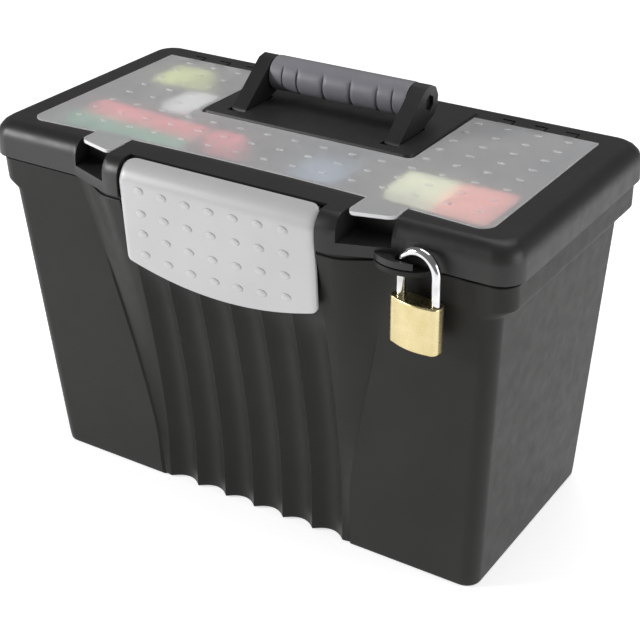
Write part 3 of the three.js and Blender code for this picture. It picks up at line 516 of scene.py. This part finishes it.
def bin_ring(z, inset, fluted, z_draw=None):
    """The whole outline of the bin at one height, drawn at z_draw where given."""
    half_x, y_front, y_back, radius = wall_size(z)
    half_x, y_front, y_back = half_x - inset, y_front + inset, y_back - inset
    radius = max(MIN_R, radius - inset)
    ring = arc(-half_x + radius, y_front + radius, radius, math.pi)
    ring += bay_points(z, y_front, inset, fluted)
    ring += arc(half_x - radius, y_front + radius, radius, -math.pi / 2)
    ring += arc(half_x - radius, y_back - radius, radius, 0)
    ring += arc(-half_x + radius, y_back - radius, radius, math.pi / 2)
    height = z if z_draw is None else z_draw
    return [(x, y, height) for x, y in ring]


FOOT_STEPS = 4
BIN_SHARP = 33
WALL_LEVELS, COLLAR_LEVELS, FIRST_LEVEL_Z = 30, 8, 9
COLLAR_FACE_ZS = [241, 247, 253]
INSIDE_ZS = (COLLAR_UNDER_Z, FLUTE_END_Z, 190, 165, 135, 105, 75, BAY_START_Z, 2 * SHELL)


def bin_skin():
    """The open bin: round foot, fluted wall, collar with its shadow gap, then the inside."""
    rings = []
    for k in range(FOOT_STEPS + 1):
        turn = math.pi / 2 * k / FOOT_STEPS
        rings.append(bin_ring(0, FOOT_ROUND * (1 - math.sin(turn)), True,
                              FOOT_ROUND * (1 - math.cos(turn))))
    levels = list(np.linspace(FIRST_LEVEL_Z, COLLAR_UNDER_Z - 2, WALL_LEVELS))
    levels += list(np.linspace(COLLAR_UNDER_Z, COLLAR_LOW_Z, COLLAR_LEVELS)) + COLLAR_FACE_ZS
    rings += [bin_ring(z, 0, True) for z in levels]
    rings += [bin_ring(SEAM_Z - 0.5, 0, True), bin_ring(SEAM_Z, 0.4, True),
              bin_ring(SEAM_Z + 0.2, SEAM_INSET, True), bin_ring(BIN_TOP_Z, SEAM_INSET, True)]
    rings += [bin_ring(BIN_TOP_Z, SHELL, False),
              bin_ring(COLLAR_LOW_Z, SHELL, False, COLLAR_LOW_Z + SHELL)]
    rings += [bin_ring(z, SHELL, False) for z in INSIDE_ZS]
    rings.append(bin_ring(SHELL, SHELL + 2, False))
    return loft("bin_shell_moulding", rings, BIN_SHARP)


LUG_X, LUG_Y, LUG_R, LUG_ROOT_Y = 139.5, -108, 21.5, -103
LUG_T, LUG_REACH, LUG_STEPS = 3.6, 14.5, 28
LEG_X, LEG_Y, LUG_HOLE_R = 141.5, -115, 4.7
HOLE_UNDER, HOLE_OVER = 9, 5    # how far the hole is cut below and above the bin's top


def lower_lug():
    """The hasp's lower lug, half an ellipse in plan, with the hole for the padlock's leg."""
    plan = [(LUG_X - LUG_R, LUG_ROOT_Y)]
    for i in range(LUG_STEPS + 1):
        turn = math.pi + math.pi * i / LUG_STEPS
        plan.append((LUG_X + LUG_R * math.cos(turn), LUG_Y + LUG_REACH * math.sin(turn)))
    plan.append((LUG_X + LUG_R, LUG_ROOT_Y))
    lug = prism("lower_lug", plan, BIN_TOP_Z - LUG_T, BIN_TOP_Z, in_plan)
    hole_ends = [(LEG_X, LEG_Y, BIN_TOP_Z + step) for step in (-HOLE_UNDER, HOLE_OVER)]
    combine(lug, rod("hole", *hole_ends, LUG_HOLE_R), "DIFFERENCE")
    return bevel(lug, 0.8)


HINGE_X, KNUCKLE_R, KNUCKLE_HALF, KNUCKLE_ROUND, WEB_T = 130, 4.5, 12, 0.6, 4.2
LID_AXIS = (113.5, 258.5)


def knuckle(sign):
    """One hinge knuckle behind the collar, with the web that carries it."""
    x0, x1 = HINGE_X * sign - KNUCKLE_HALF, HINGE_X * sign + KNUCKLE_HALF
    barrel = rod("knuckle", (x0, *LID_AXIS), (x1, *LID_AXIS), KNUCKLE_R, 32, KNUCKLE_ROUND)
    root_y, low_z = COLLAR_BACK_Y - 2, BIN_TOP_Z - WEB_T
    side = [(root_y, low_z), (LID_AXIS[0], low_z),
            (LID_AXIS[0], BIN_TOP_Z), (root_y, BIN_TOP_Z)]
    return [barrel, prism("web", side, x0, x1, in_side)]


CATCH_Z, CATCH_H, CATCH_D, CATCH_SLOPE, CATCH_HALF_X = 246, 3, 1.5, 0.6, 30


def catch():
    """The rail in the latch's bay that the latch's hook bar holds under."""
    root, tip = LATCH_BAY_Y + 1, LATCH_BAY_Y - CATCH_D
    side = [(root, CATCH_Z), (tip, CATCH_Z + CATCH_SLOPE),
            (tip, CATCH_Z + CATCH_H - CATCH_SLOPE), (root, CATCH_Z + CATCH_H)]
    return prism("catch", side, -CATCH_HALF_X, CATCH_HALF_X, in_side)


bin_parts = [bin_skin(), lower_lug(), catch()]
for _, sign in SIDES:
    bin_parts += knuckle(sign)
bin_piece = join("bin_moulding", bin_parts, BIN_SHARP)
weigh(bin_piece)
dress(bin_piece, CHARCOAL, "bin")
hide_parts("bin_shell")

# ---------------------------------------------------------------- lid and its fixed parts
lid_piece = refine("lid_frame", 0.7, 3, flat_deg=1.2, sharp_deg=40, name="lid_moulding_frame")
dress(lid_piece, LID_CHARCOAL, "lid")

for node in ("organiser_tray", "front_divider_left", "front_divider_right",
             "corner_divider_left", "corner_divider_right",
             "arm_divider_left", "arm_divider_right"):
    dress(refine(node, 0.35, 2), TRAY, "lid")
for kind in ("lid_hinge_pin", "cover_hinge_pin", "latch_pin", "handle_pin"):
    for side, _ in SIDES:
        dress(refine(f"{kind}_{side}", 0.3, 2), STEEL, "lid")

# ---------------------------------------------------------------- cover with raised ovals
COVER_TOP = 286.2
COVER_HALF_X, COVER_BACK_Y = 191, 80.5
WELL_HALF_X, WELL_FRONT_Y = 92, -15.5
SPOT_PITCH_X, SPOT_PITCH_Y = 24.0, 19.8
SPOT_START_X, SPOT_START_Y = -187.5, -68.5
SPOT_EDGE = 6
SPOT_COLUMNS, SPOT_ROWS = 16, 8
SPOT_HALF_X, SPOT_HALF_Y, SPOT_H = 3.3, 2.1, 1.0
TAB_INNER_X, TAB_OUTER_X, TAB_NECK_Y, TAB_TIP_Y = 98.5, 130.5, -94, -111.5
TAB_SLANT, TAB_LEAD = 8.5, 2    # the tab's tip runs along the lid's slanted front
EAR_STEP = 0.5
EAR_Y = (COVER_BACK_Y + EAR_STEP) * MM
RIM_SLOPE = 0.9
OVAL_RISE = 0.15
EDGE_TURN = 40
SHEET_SLOT, OVAL_SLOT, EAR_SLOT, RIM_SLOT = range(4)


def cover_spots():
    """Where the raised ovals stand: a grid clear of the sheet's edges and of its well."""
    spots = []
    for i in range(SPOT_COLUMNS):
        for j in range(SPOT_ROWS):
            x, y = SPOT_START_X + SPOT_PITCH_X * i, SPOT_START_Y + SPOT_PITCH_Y * j
            in_well = abs(x) < WELL_HALF_X + SPOT_EDGE and y > WELL_FRONT_Y - SPOT_EDGE
            if abs(x) < COVER_HALF_X - SPOT_EDGE and y < COVER_BACK_Y - SPOT_EDGE and not in_well:
                spots.append((x, y))
    return spots


def on_cover(spot):
    """The point on the cover's top at a spot, and two directions along the sheet."""
    return Vector((*spot, COVER_TOP)), Vector((1, 0, 0)), Vector((0, 1, 0))


def slant_tabs(bm):
    """Leans the two tabs' tips so that they run along the lid's slanted front."""
    for vert in bm.verts:
        x, y = abs(vert.co.x) / MM, vert.co.y / MM
        if TAB_INNER_X - 2 < x < TAB_OUTER_X + 2 and y < TAB_NECK_Y:
            outward = (x - TAB_INNER_X) / (TAB_OUTER_X - TAB_INNER_X)
            reach = (TAB_NECK_Y - y) / (TAB_NECK_Y - TAB_TIP_Y)
            vert.co.y += reach * (TAB_SLANT * outward - TAB_LEAD) * MM


def cover_slot(face):
    """Which of the cover's materials a face takes."""
    if face.center.y > EAR_Y:
        return EAR_SLOT
    if face.center.z > (COVER_TOP + OVAL_RISE) * MM:
        return OVAL_SLOT
    return RIM_SLOT if abs(face.normal.z) < RIM_SLOPE else SHEET_SLOT


def cover():
    """The frosted sheet with its ovals and slanted tabs, split off from its black ears."""
    piece = refine("organiser_cover", 0, flat_deg=1.2, sharp_deg=EDGE_TURN, name="cover_sheet")
    bevel(piece, 0.7, angle=EDGE_TURN, sharp_deg=EDGE_TURN)
    piece.modifiers.clear()
    domes = ovals("cover_ovals", cover_spots(), SPOT_HALF_X, SPOT_HALF_Y, SPOT_H, on_cover)
    combine(piece, domes, "UNION")
    bm = bmesh.new()
    bm.from_mesh(piece.data)
    slant_tabs(bm)
    bmesh.ops.bisect_plane(bm, geom=bm.verts[:] + bm.edges[:] + bm.faces[:],
                           plane_co=(0, EAR_Y, 0), plane_no=(0, 1, 0))
    bm.to_mesh(piece.data)
    bm.free()
    shade(piece.data, 50)
    weigh(piece)
    dress(piece, COVER_LOOK, "cover")
    for look in (OVAL_LOOK, BLACK, RIM_LOOK):
        piece.data.materials.append(look)
    for face in piece.data.polygons:
        face.material_index = cover_slot(face)


cover()

# ---------------------------------------------------------------- latch
LATCH_HALF_X, LATCH_LOW_Z, LATCH_SIDE_Z = 81, 197, 210
FACE_LOW_Y, FACE_TOP_Y, BEND_Z = -121.3, -125.6, 269
LIP_Y, LIP_Z = -112, 285.5
LATCH_CORNER_R, FOOT_CORNER_R, PLATE_T = 9, 3, 2
BEND_POINTS = [(FACE_TOP_Y, BEND_Z), (FACE_TOP_Y + 0.6, BEND_Z + 5),
               (FACE_TOP_Y + 3, BEND_Z + 10), (FACE_TOP_Y + 7, BEND_Z + 14), (LIP_Y, LIP_Z)]


def smooth_line(points, steps):
    """Catmull-Rom line through the points."""
    pts = [np.array(p, float) for p in points]
    pts = [2 * pts[0] - pts[1]] + pts + [2 * pts[-1] - pts[-2]]
    line = []
    for k in range(1, len(pts) - 2):
        a, b, c, d = pts[k - 1:k + 3]
        for i in range(steps):
            t = i / steps
            line.append(0.5 * (2 * b + (c - a) * t + (2 * a - 5 * b + 4 * c - d) * t * t
                               + (3 * b - a - 3 * c + d) * t ** 3))
    line.append(pts[-2])
    return line


face_points = [(mix(FACE_LOW_Y, FACE_TOP_Y, t), mix(LATCH_LOW_Z, BEND_Z, t))
               for t in (0.25, 0.5, 0.75)]
profile_points = [(FACE_LOW_Y, LATCH_LOW_Z)] + face_points + BEND_POINTS
profile = np.array(smooth_line(profile_points, 6))
run = np.concatenate([[0], np.cumsum(np.hypot(*np.diff(profile, axis=0).T))])


def latch_at(s):
    """Point and inward normal on the latch's side profile at length s from its foot."""
    y, z = np.interp(s, run, profile[:, 0]), np.interp(s, run, profile[:, 1])
    y0, z0 = np.interp(s - 1, run, profile[:, 0]), np.interp(s - 1, run, profile[:, 1])
    y1, z1 = np.interp(s + 1, run, profile[:, 0]), np.interp(s + 1, run, profile[:, 1])
    size = math.hypot(y1 - y0, z1 - z0)
    return (y, z), ((z1 - z0) / size, -(y1 - y0) / size)


def latch_span(x):
    """Where the plate's foot and head are at x, as lengths along the profile."""
    low_z = mix(LATCH_LOW_Z, LATCH_SIDE_Z, (x / LATCH_HALF_X) ** 2)
    foot = np.interp(low_z, profile[:, 1], run)
    past = clamp((abs(x) - (LATCH_HALF_X - LATCH_CORNER_R)) / LATCH_CORNER_R)
    head = run[-1] - LATCH_CORNER_R * (1 - math.sqrt(max(0.0, 1 - past * past)))
    past_low = clamp((abs(x) - (LATCH_HALF_X - FOOT_CORNER_R)) / FOOT_CORNER_R)
    foot += FOOT_CORNER_R * (1 - math.sqrt(max(0.0, 1 - past_low * past_low)))
    return foot, head


COLUMNS, EDGE_COLUMNS, ROWS = 37, 8, 44
SIDE_TURN, SIDE_TURN_W, SIDE_TURN_CUT = 2.2, 5, 0.8
flat_x = LATCH_HALF_X - LATCH_CORNER_R
edge_turns = [flat_x + LATCH_CORNER_R * math.sin(math.pi / 2 * k / EDGE_COLUMNS)
              for k in range(1, EDGE_COLUMNS + 1)]
columns = [-x for x in reversed(edge_turns)]
columns += list(np.linspace(-flat_x, flat_x, COLUMNS)) + edge_turns


def latch_skin(depth):
    """Grid of points over the latch's face at a depth, its side edges turned back."""
    skin = []
    for x in columns:
        foot, head = latch_span(x)
        past = clamp((abs(x) - (LATCH_HALF_X - SIDE_TURN_W)) / SIDE_TURN_W)
        drop = SIDE_TURN * (1 - math.sqrt(max(0.0, 1 - SIDE_TURN_CUT * past * past)))
        for j in range(ROWS + 1):
            (y, z), (ny, nz) = latch_at(mix(foot, head, j / ROWS))
            skin.append((x, y + ny * (depth + drop), z + nz * (depth + drop)))
    return skin


def latch_plate():
    """The bent plate: a front and a back skin, joined round their rim."""
    width, tall = len(columns), ROWS + 1
    vertices = latch_skin(0) + latch_skin(PLATE_T)
    back = width * tall
    faces = []
    for i in range(width - 1):
        for j in range(ROWS):
            a = i * tall + j
            faces.append((a, a + tall, a + tall + 1, a + 1))
            faces.append((back + a, back + a + 1, back + a + tall + 1, back + a + tall))
    rim = [i * tall for i in range(width)] + [(width - 1) * tall + j for j in range(1, tall)]
    rim += [i * tall + ROWS for i in range(width - 2, -1, -1)]
    rim += [j for j in range(ROWS - 1, 0, -1)]
    for k, a in enumerate(rim):
        b = rim[(k + 1) % len(rim)]
        faces.append((a, back + a, back + b, b))
    plate = bevel(build("latch_face", vertices, faces, 50), 0.7, angle=50, sharp_deg=50)
    plate.modifiers.clear()
    return plate


LATCH_SPOT_X, LATCH_SPOT_PITCH = -63.3, 20.05
LATCH_SPOT_ROWS = ((211.5, 5), (228.8, 4.5), (247.6, 2), (265.8, 1.5))    # height, rise
LATCH_SPOT_COLUMNS, LATCH_SPOT_SPREAD, LATCH_SPOT_SINK = 7, 60, 0.1
LATCH_SPOT_HALF_X, LATCH_SPOT_HALF_Z, LATCH_SPOT_H = 4.2, 2.7, 0.9


def latch_spots():
    """Where the latch's ovals stand: rows that rise towards the plate's two sides."""
    spots = []
    for i in range(LATCH_SPOT_COLUMNS):
        x = LATCH_SPOT_X + LATCH_SPOT_PITCH * i
        spots += [(x, z + rise * (x / LATCH_SPOT_SPREAD) ** 2) for z, rise in LATCH_SPOT_ROWS]
    return spots


def on_latch(spot):
    """The point on the latch's face at a spot, and two directions along the face."""
    x, z = spot
    (y, z), (ny, nz) = latch_at(np.interp(z, profile[:, 1], run))
    along = Vector((0, -nz, ny))
    point = Vector((x, y - ny * LATCH_SPOT_SINK, z))
    return point, Vector((1, 0, 0)), -along if along.z < 0 else along


latch_piece = latch_plate()
latch_ovals = ovals("latch_ovals", latch_spots(), LATCH_SPOT_HALF_X, LATCH_SPOT_HALF_Z,
                    LATCH_SPOT_H, on_latch)
combine(latch_piece, latch_ovals, "UNION")
shade(latch_piece.data, 60)
weigh(latch_piece)
dress(latch_piece, SILVER, "latch")
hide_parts("latch_plate")
dress(refine("latch_carrier", 0.5, 2), BLACK, "latch")

# ---------------------------------------------------------------- handle
dress(refine("handle_bail", 1.3, 3, flat_deg=1.2, sharp_deg=28), BLACK, "handle")
grip_low, grip_high = node_box("handle_grip")
GRIP_Y, GRIP_Z = (grip_low.y + grip_high.y) / 2, (grip_low.z + grip_high.z) / 2
GRIP_R, GRIP_BORE = 13.3, 6.6
GRIP_EDGES = (-60, -48, -35, -12, 12, 35, 48, 60)
GROOVE_R = 11.9
SWELL_STEPS, SWELL_POWER = 8, 5
GRIP_SIDES = 64
GROOVE_SIDE, GROOVE_FADE, SWELL_GAP = (-0.8, -0.6), 0.5, 0.25    # the grooves face forward and down


def grip_ring(x, radius, whole):
    """One ring of the sleeve: its grooves fade out over the top, which is smooth."""
    ring = []
    for i in range(GRIP_SIDES):
        c, s = math.cos(TAU * i / GRIP_SIDES), math.sin(TAU * i / GRIP_SIDES)
        cut = 1 if whole else ease((GROOVE_SIDE[0] * c + GROOVE_SIDE[1] * s) / GROOVE_FADE)
        here = mix(GRIP_R, radius, cut)
        ring.append((x, GRIP_Y + here * c, GRIP_Z + here * s))
    return ring


def grip_sleeve():
    """The soft sleeve: one swell between each two grooves, bored for the handle's bar."""
    rings = []
    for x0, x1 in zip(GRIP_EDGES, GRIP_EDGES[1:]):
        for k in range(SWELL_STEPS + 1):
            t = k / SWELL_STEPS
            bulge = math.sqrt(max(0.0, 1 - abs(2 * t - 1) ** SWELL_POWER))
            at_end = (x0 == GRIP_EDGES[0] and t < 0.5) or (x1 == GRIP_EDGES[-1] and t > 0.5)
            x = mix(x0 + SWELL_GAP, x1 - SWELL_GAP, 0.5 - 0.5 * math.cos(math.pi * t))
            rings.append(grip_ring(x, mix(GROOVE_R, GRIP_R, bulge), at_end))
    sleeve = loft("grip_sleeve", rings, 70)
    bore_half = GRIP_EDGES[-1] + 10
    bore_ends = [(x, GRIP_Y, GRIP_Z) for x in (-bore_half, bore_half)]
    return combine(sleeve, rod("bore", *bore_ends, GRIP_BORE), "DIFFERENCE")


grip_piece = grip_sleeve()
shade(grip_piece.data, 60)
weigh(grip_piece)
dress(grip_piece, GRIP, "handle")
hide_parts("handle_grip")

# ---------------------------------------------------------------- padlock
lock_low, lock_high = node_box("padlock_body")
LOCK_W, LOCK_T, LOCK_ROUND, LOCK_TURN = 38.5, 13, 5, math.radians(-8.5)
LEG_HALF, SHACKLE_R, SHACKLE_TOP, LEG_LOW_Z = 14, 3.17, 275.5, 224.5
LOCK_X, LOCK_Y = LEG_X + LEG_HALF, LEG_Y
PLUG_R, PLUG_H = 5, 6
LOCK_SHIFT, LOCK_BOW, LOCK_BOW_STEPS = 0.9, 2.4, 16


def hang(obj):
    """Turn a padlock piece about the leg that stays in the lugs."""
    pin = Vector((LEG_X, LEG_Y, 0)) * MM
    obj.data.transform(Matrix.Translation(pin) @ Matrix.Rotation(LOCK_TURN, 4, "Z")
                       @ Matrix.Translation(-pin))
    return obj


def case_plan():
    """The padlock case seen from above: round corners, a bowed front and a flat back."""
    plan = []
    hx, hy = LOCK_W / 2 - LOCK_ROUND, LOCK_T / 2 - LOCK_ROUND
    corners = ((1, 1, 0), (-1, 1, math.pi / 2), (-1, -1, math.pi), (1, -1, -math.pi / 2))
    for cx, cy, start in corners:
        plan += arc(LOCK_X - LOCK_SHIFT + cx * hx, LOCK_Y + cy * hy, LOCK_ROUND, start, 8)
        if cx != cy:
            continue
        bow = LOCK_BOW if cy < 0 else 0
        for k in range(1, LOCK_BOW_STEPS):
            t = 1 - 2 * k / LOCK_BOW_STEPS
            reach = cy * (LOCK_T / 2 + bow * (1 - t * t))
            plan.append((LOCK_X - LOCK_SHIFT + cx * t * hx, LOCK_Y + reach))
    return plan


def lock_case():
    """The brass case, bored for the shackle's legs and for the plug."""
    case = prism("lock_case", case_plan(), lock_low.z, lock_high.z, in_plan)
    bevel(case, 1.3, 4, angle=50)
    case.modifiers.clear()
    for sign in (-1, 1):
        x = LOCK_X + sign * LEG_HALF
        bore_ends = [(x, LOCK_Y, z) for z in (LEG_LOW_Z - 10, lock_high.z + 2)]
        combine(case, rod("leg", *bore_ends, SHACKLE_R + GAP), "DIFFERENCE")
    seat_ends = [(LOCK_X, LOCK_Y, lock_low.z + depth) for depth in (-2, PLUG_H + GAP)]
    return combine(case, rod("plug", *seat_ends, PLUG_R + GAP), "DIFFERENCE")


lock_piece = lock_case()
weigh(hang(lock_piece))
dress(lock_piece, BRASS, "padlock")
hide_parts("padlock_body")
dress(refine("padlock_plug", 0.2, 2), BRASS, "lock_plug")

LEG_STEPS, ARCH_STEPS, TUBE_SIDES = 12, 33, 24


def shackle_bar():
    """The steel bar: up one leg, over the arch and down the other leg."""
    arch_z = SHACKLE_TOP - SHACKLE_R - LEG_HALF
    leg_zs = np.linspace(LEG_LOW_Z, arch_z, LEG_STEPS)
    path = [Vector((LOCK_X - LEG_HALF, LOCK_Y, z)) for z in leg_zs]
    path += [Vector((LOCK_X - LEG_HALF * math.cos(t), LOCK_Y, arch_z + LEG_HALF * math.sin(t)))
             for t in np.linspace(0, math.pi, ARCH_STEPS)[1:-1]]
    path += [Vector((LOCK_X + LEG_HALF, LOCK_Y, z)) for z in reversed(leg_zs)]
    across = Vector((0, 1, 0))
    turns = [TAU * i / TUBE_SIDES for i in range(TUBE_SIDES)]
    tube = []
    for k, at in enumerate(path):
        along = (path[min(k + 1, len(path) - 1)] - path[max(k - 1, 0)]).normalized()
        up = along.cross(across)
        tube.append([at + (across * math.cos(t) + up * math.sin(t)) * SHACKLE_R for t in turns])
    return loft("shackle_bar", tube, 50)


shackle_piece = hang(shackle_bar())
dress(shackle_piece, STEEL, "shackle")
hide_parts("padlock_shackle")

# ---------------------------------------------------------------- contents seen through the cover
TRAY_FLOOR_Z = 264.2


def content(name, corners, top, color):
    """A soft-edged pad, block or case standing on the tray's floor, its card glowing with painted
    light.
    """
    piece = prism(name, corners, TRAY_FLOOR_Z, top, in_plan)
    bevel(piece, 1.2, 3, 30)
    dress(piece, paper(name + "_card_painted_glow", color), "lid")


content("pad_yellow", [(-176, 34), (-140, 34), (-140, 72), (-176, 72)], 280, (0.75, 0.82, 0.30))
content("pad_white", [(-132, -10), (-103, -10), (-103, 27), (-132, 27)], 280, (0.85, 0.85, 0.85))
content("case_red", [(-178, -44), (-72, -50), (-69, -33), (-176, -25)], 281, (0.85, 0.16, 0.19))
content("pencils_green", [(-182, -64), (-72, -70), (-71, -55), (-182, -49)], 278,
        (0.10, 0.45, 0.27))
content("strip_red", [(-62, -51), (-36, -52), (-36, -33), (-62, -32)], 281, (0.85, 0.16, 0.19))
content("case_blue", [(20, -72), (61, -72), (61, -26), (20, -26)], 274, (0.22, 0.30, 0.42))
content("card_cream", [(97, -62), (138, -66), (138, -26), (97, -26)], 281, (0.86, 0.88, 0.62))
content("card_salmon", [(140, -76), (181, -76), (181, -26), (140, -26)], 281, (0.86, 0.33, 0.28))

# ---------------------------------------------------------------- stage, light and camera
FLOOR, FLOOR_DROP = 3.0, 0.0005    # metres
FLOOR_GLOW, AMBIENT, BACKDROP = 0.62, 0.22, 1.1


def pale_floor():
    """A wide pale floor just under the part."""
    mesh = bpy.data.meshes.new("floor")
    corners = [(FLOOR * x, FLOOR * y, 0) for x, y in ((-1, -1), (1, -1), (1, 1), (-1, 1))]
    mesh.from_pydata(corners, [], [(0, 1, 2, 3)])
    floor = link("floor", mesh)
    floor.location.z = -FLOOR_DROP
    look, tree, shader, coords = nodes_of("pale_floor")
    tint(tree, noise(tree, coords, 3, 2), [(0.3, (0.9, 0.9, 0.9)), (0.7, (0.93, 0.93, 0.93))],
         shader.inputs["Base Color"])
    shader.inputs["Roughness"].default_value = 0.9
    shader.inputs["Specular IOR Level"].default_value = 0.1
    shader.inputs["Emission Color"].default_value = (1, 1, 1, 1)
    shader.inputs["Emission Strength"].default_value = FLOOR_GLOW
    floor.data.materials.append(look)


def studio_world():
    """Dim white light from all round, and a bright white backdrop for the camera."""
    world = bpy.data.worlds.new("studio")
    bpy.context.scene.world = world
    world.use_nodes = True
    tree = world.node_tree
    ambient = tree.nodes["Background"]
    ambient.inputs["Color"].default_value = (1, 1, 1, 1)
    ambient.inputs["Strength"].default_value = AMBIENT
    seen = tree.nodes.new("ShaderNodeBackground")
    seen.inputs["Color"].default_value = (1, 1, 1, 1)
    seen.inputs["Strength"].default_value = BACKDROP
    rays = tree.nodes.new("ShaderNodeLightPath")
    choose = tree.nodes.new("ShaderNodeMixShader")
    tree.links.new(rays.outputs["Is Camera Ray"], choose.inputs["Fac"])
    tree.links.new(ambient.outputs["Background"], choose.inputs[1])
    tree.links.new(seen.outputs["Background"], choose.inputs[2])
    tree.links.new(choose.outputs["Shader"], tree.nodes["World Output"].inputs["Surface"])


def softbox(name, place, aim, size, power):
    """A soft rectangular light, in metres and watts."""
    data = bpy.data.lights.new(name, "AREA")
    data.shape = "RECTANGLE"
    data.size, data.size_y = size
    data.energy = power
    lamp = bpy.data.objects.new(name, data)
    bpy.context.scene.collection.objects.link(lamp)
    lamp.location = place
    lamp.rotation_euler = (Vector(aim) - Vector(place)).to_track_quat("-Z", "Y").to_euler()


CAMERA_AT = Vector((0.55111, -0.85067, 0.67504))
YAW, PITCH, ROLL = math.radians(32.67), math.radians(28.46), math.radians(-0.44)
FOCAL_PX, FRAME_PX, SENSOR = 1468.63, 640, 36.0


def aim_camera():
    """The camera, placed by its position, turn, tilt and roll."""
    data = bpy.data.cameras.new("camera")
    data.sensor_width = SENSOR
    data.lens = FOCAL_PX / FRAME_PX * SENSOR
    camera = bpy.data.objects.new("camera", data)
    bpy.context.scene.collection.objects.link(camera)
    right = Vector((math.cos(YAW), math.sin(YAW), 0))
    level = math.cos(PITCH)
    ahead = Vector((-math.sin(YAW) * level, math.cos(YAW) * level, -math.sin(PITCH)))
    above = right.cross(ahead)
    right_rolled = right * math.cos(ROLL) + above * math.sin(ROLL)
    above_rolled = -right * math.sin(ROLL) + above * math.cos(ROLL)
    turn = Matrix((right_rolled, above_rolled, -ahead)).transposed().to_4x4()
    camera.matrix_world = Matrix.Translation(CAMERA_AT) @ turn
    bpy.context.scene.camera = camera


pale_floor()
studio_world()
softbox("key_front_left", (-2.0, -1.6, 0.95), (0, 0, 0.15), (0.7, 0.8), 46)
softbox("side_right", (2.0, 0.1, 0.7), (0.2, 0, 0.12), (1.3, 1.2), 16.5)
softbox("top_back", (0.0, 0.6, 2.0), (0, 0, 0.25), (1.2, 0.8), 11)
aim_camera()
bpy.context.scene.view_settings.view_transform = "Standard"
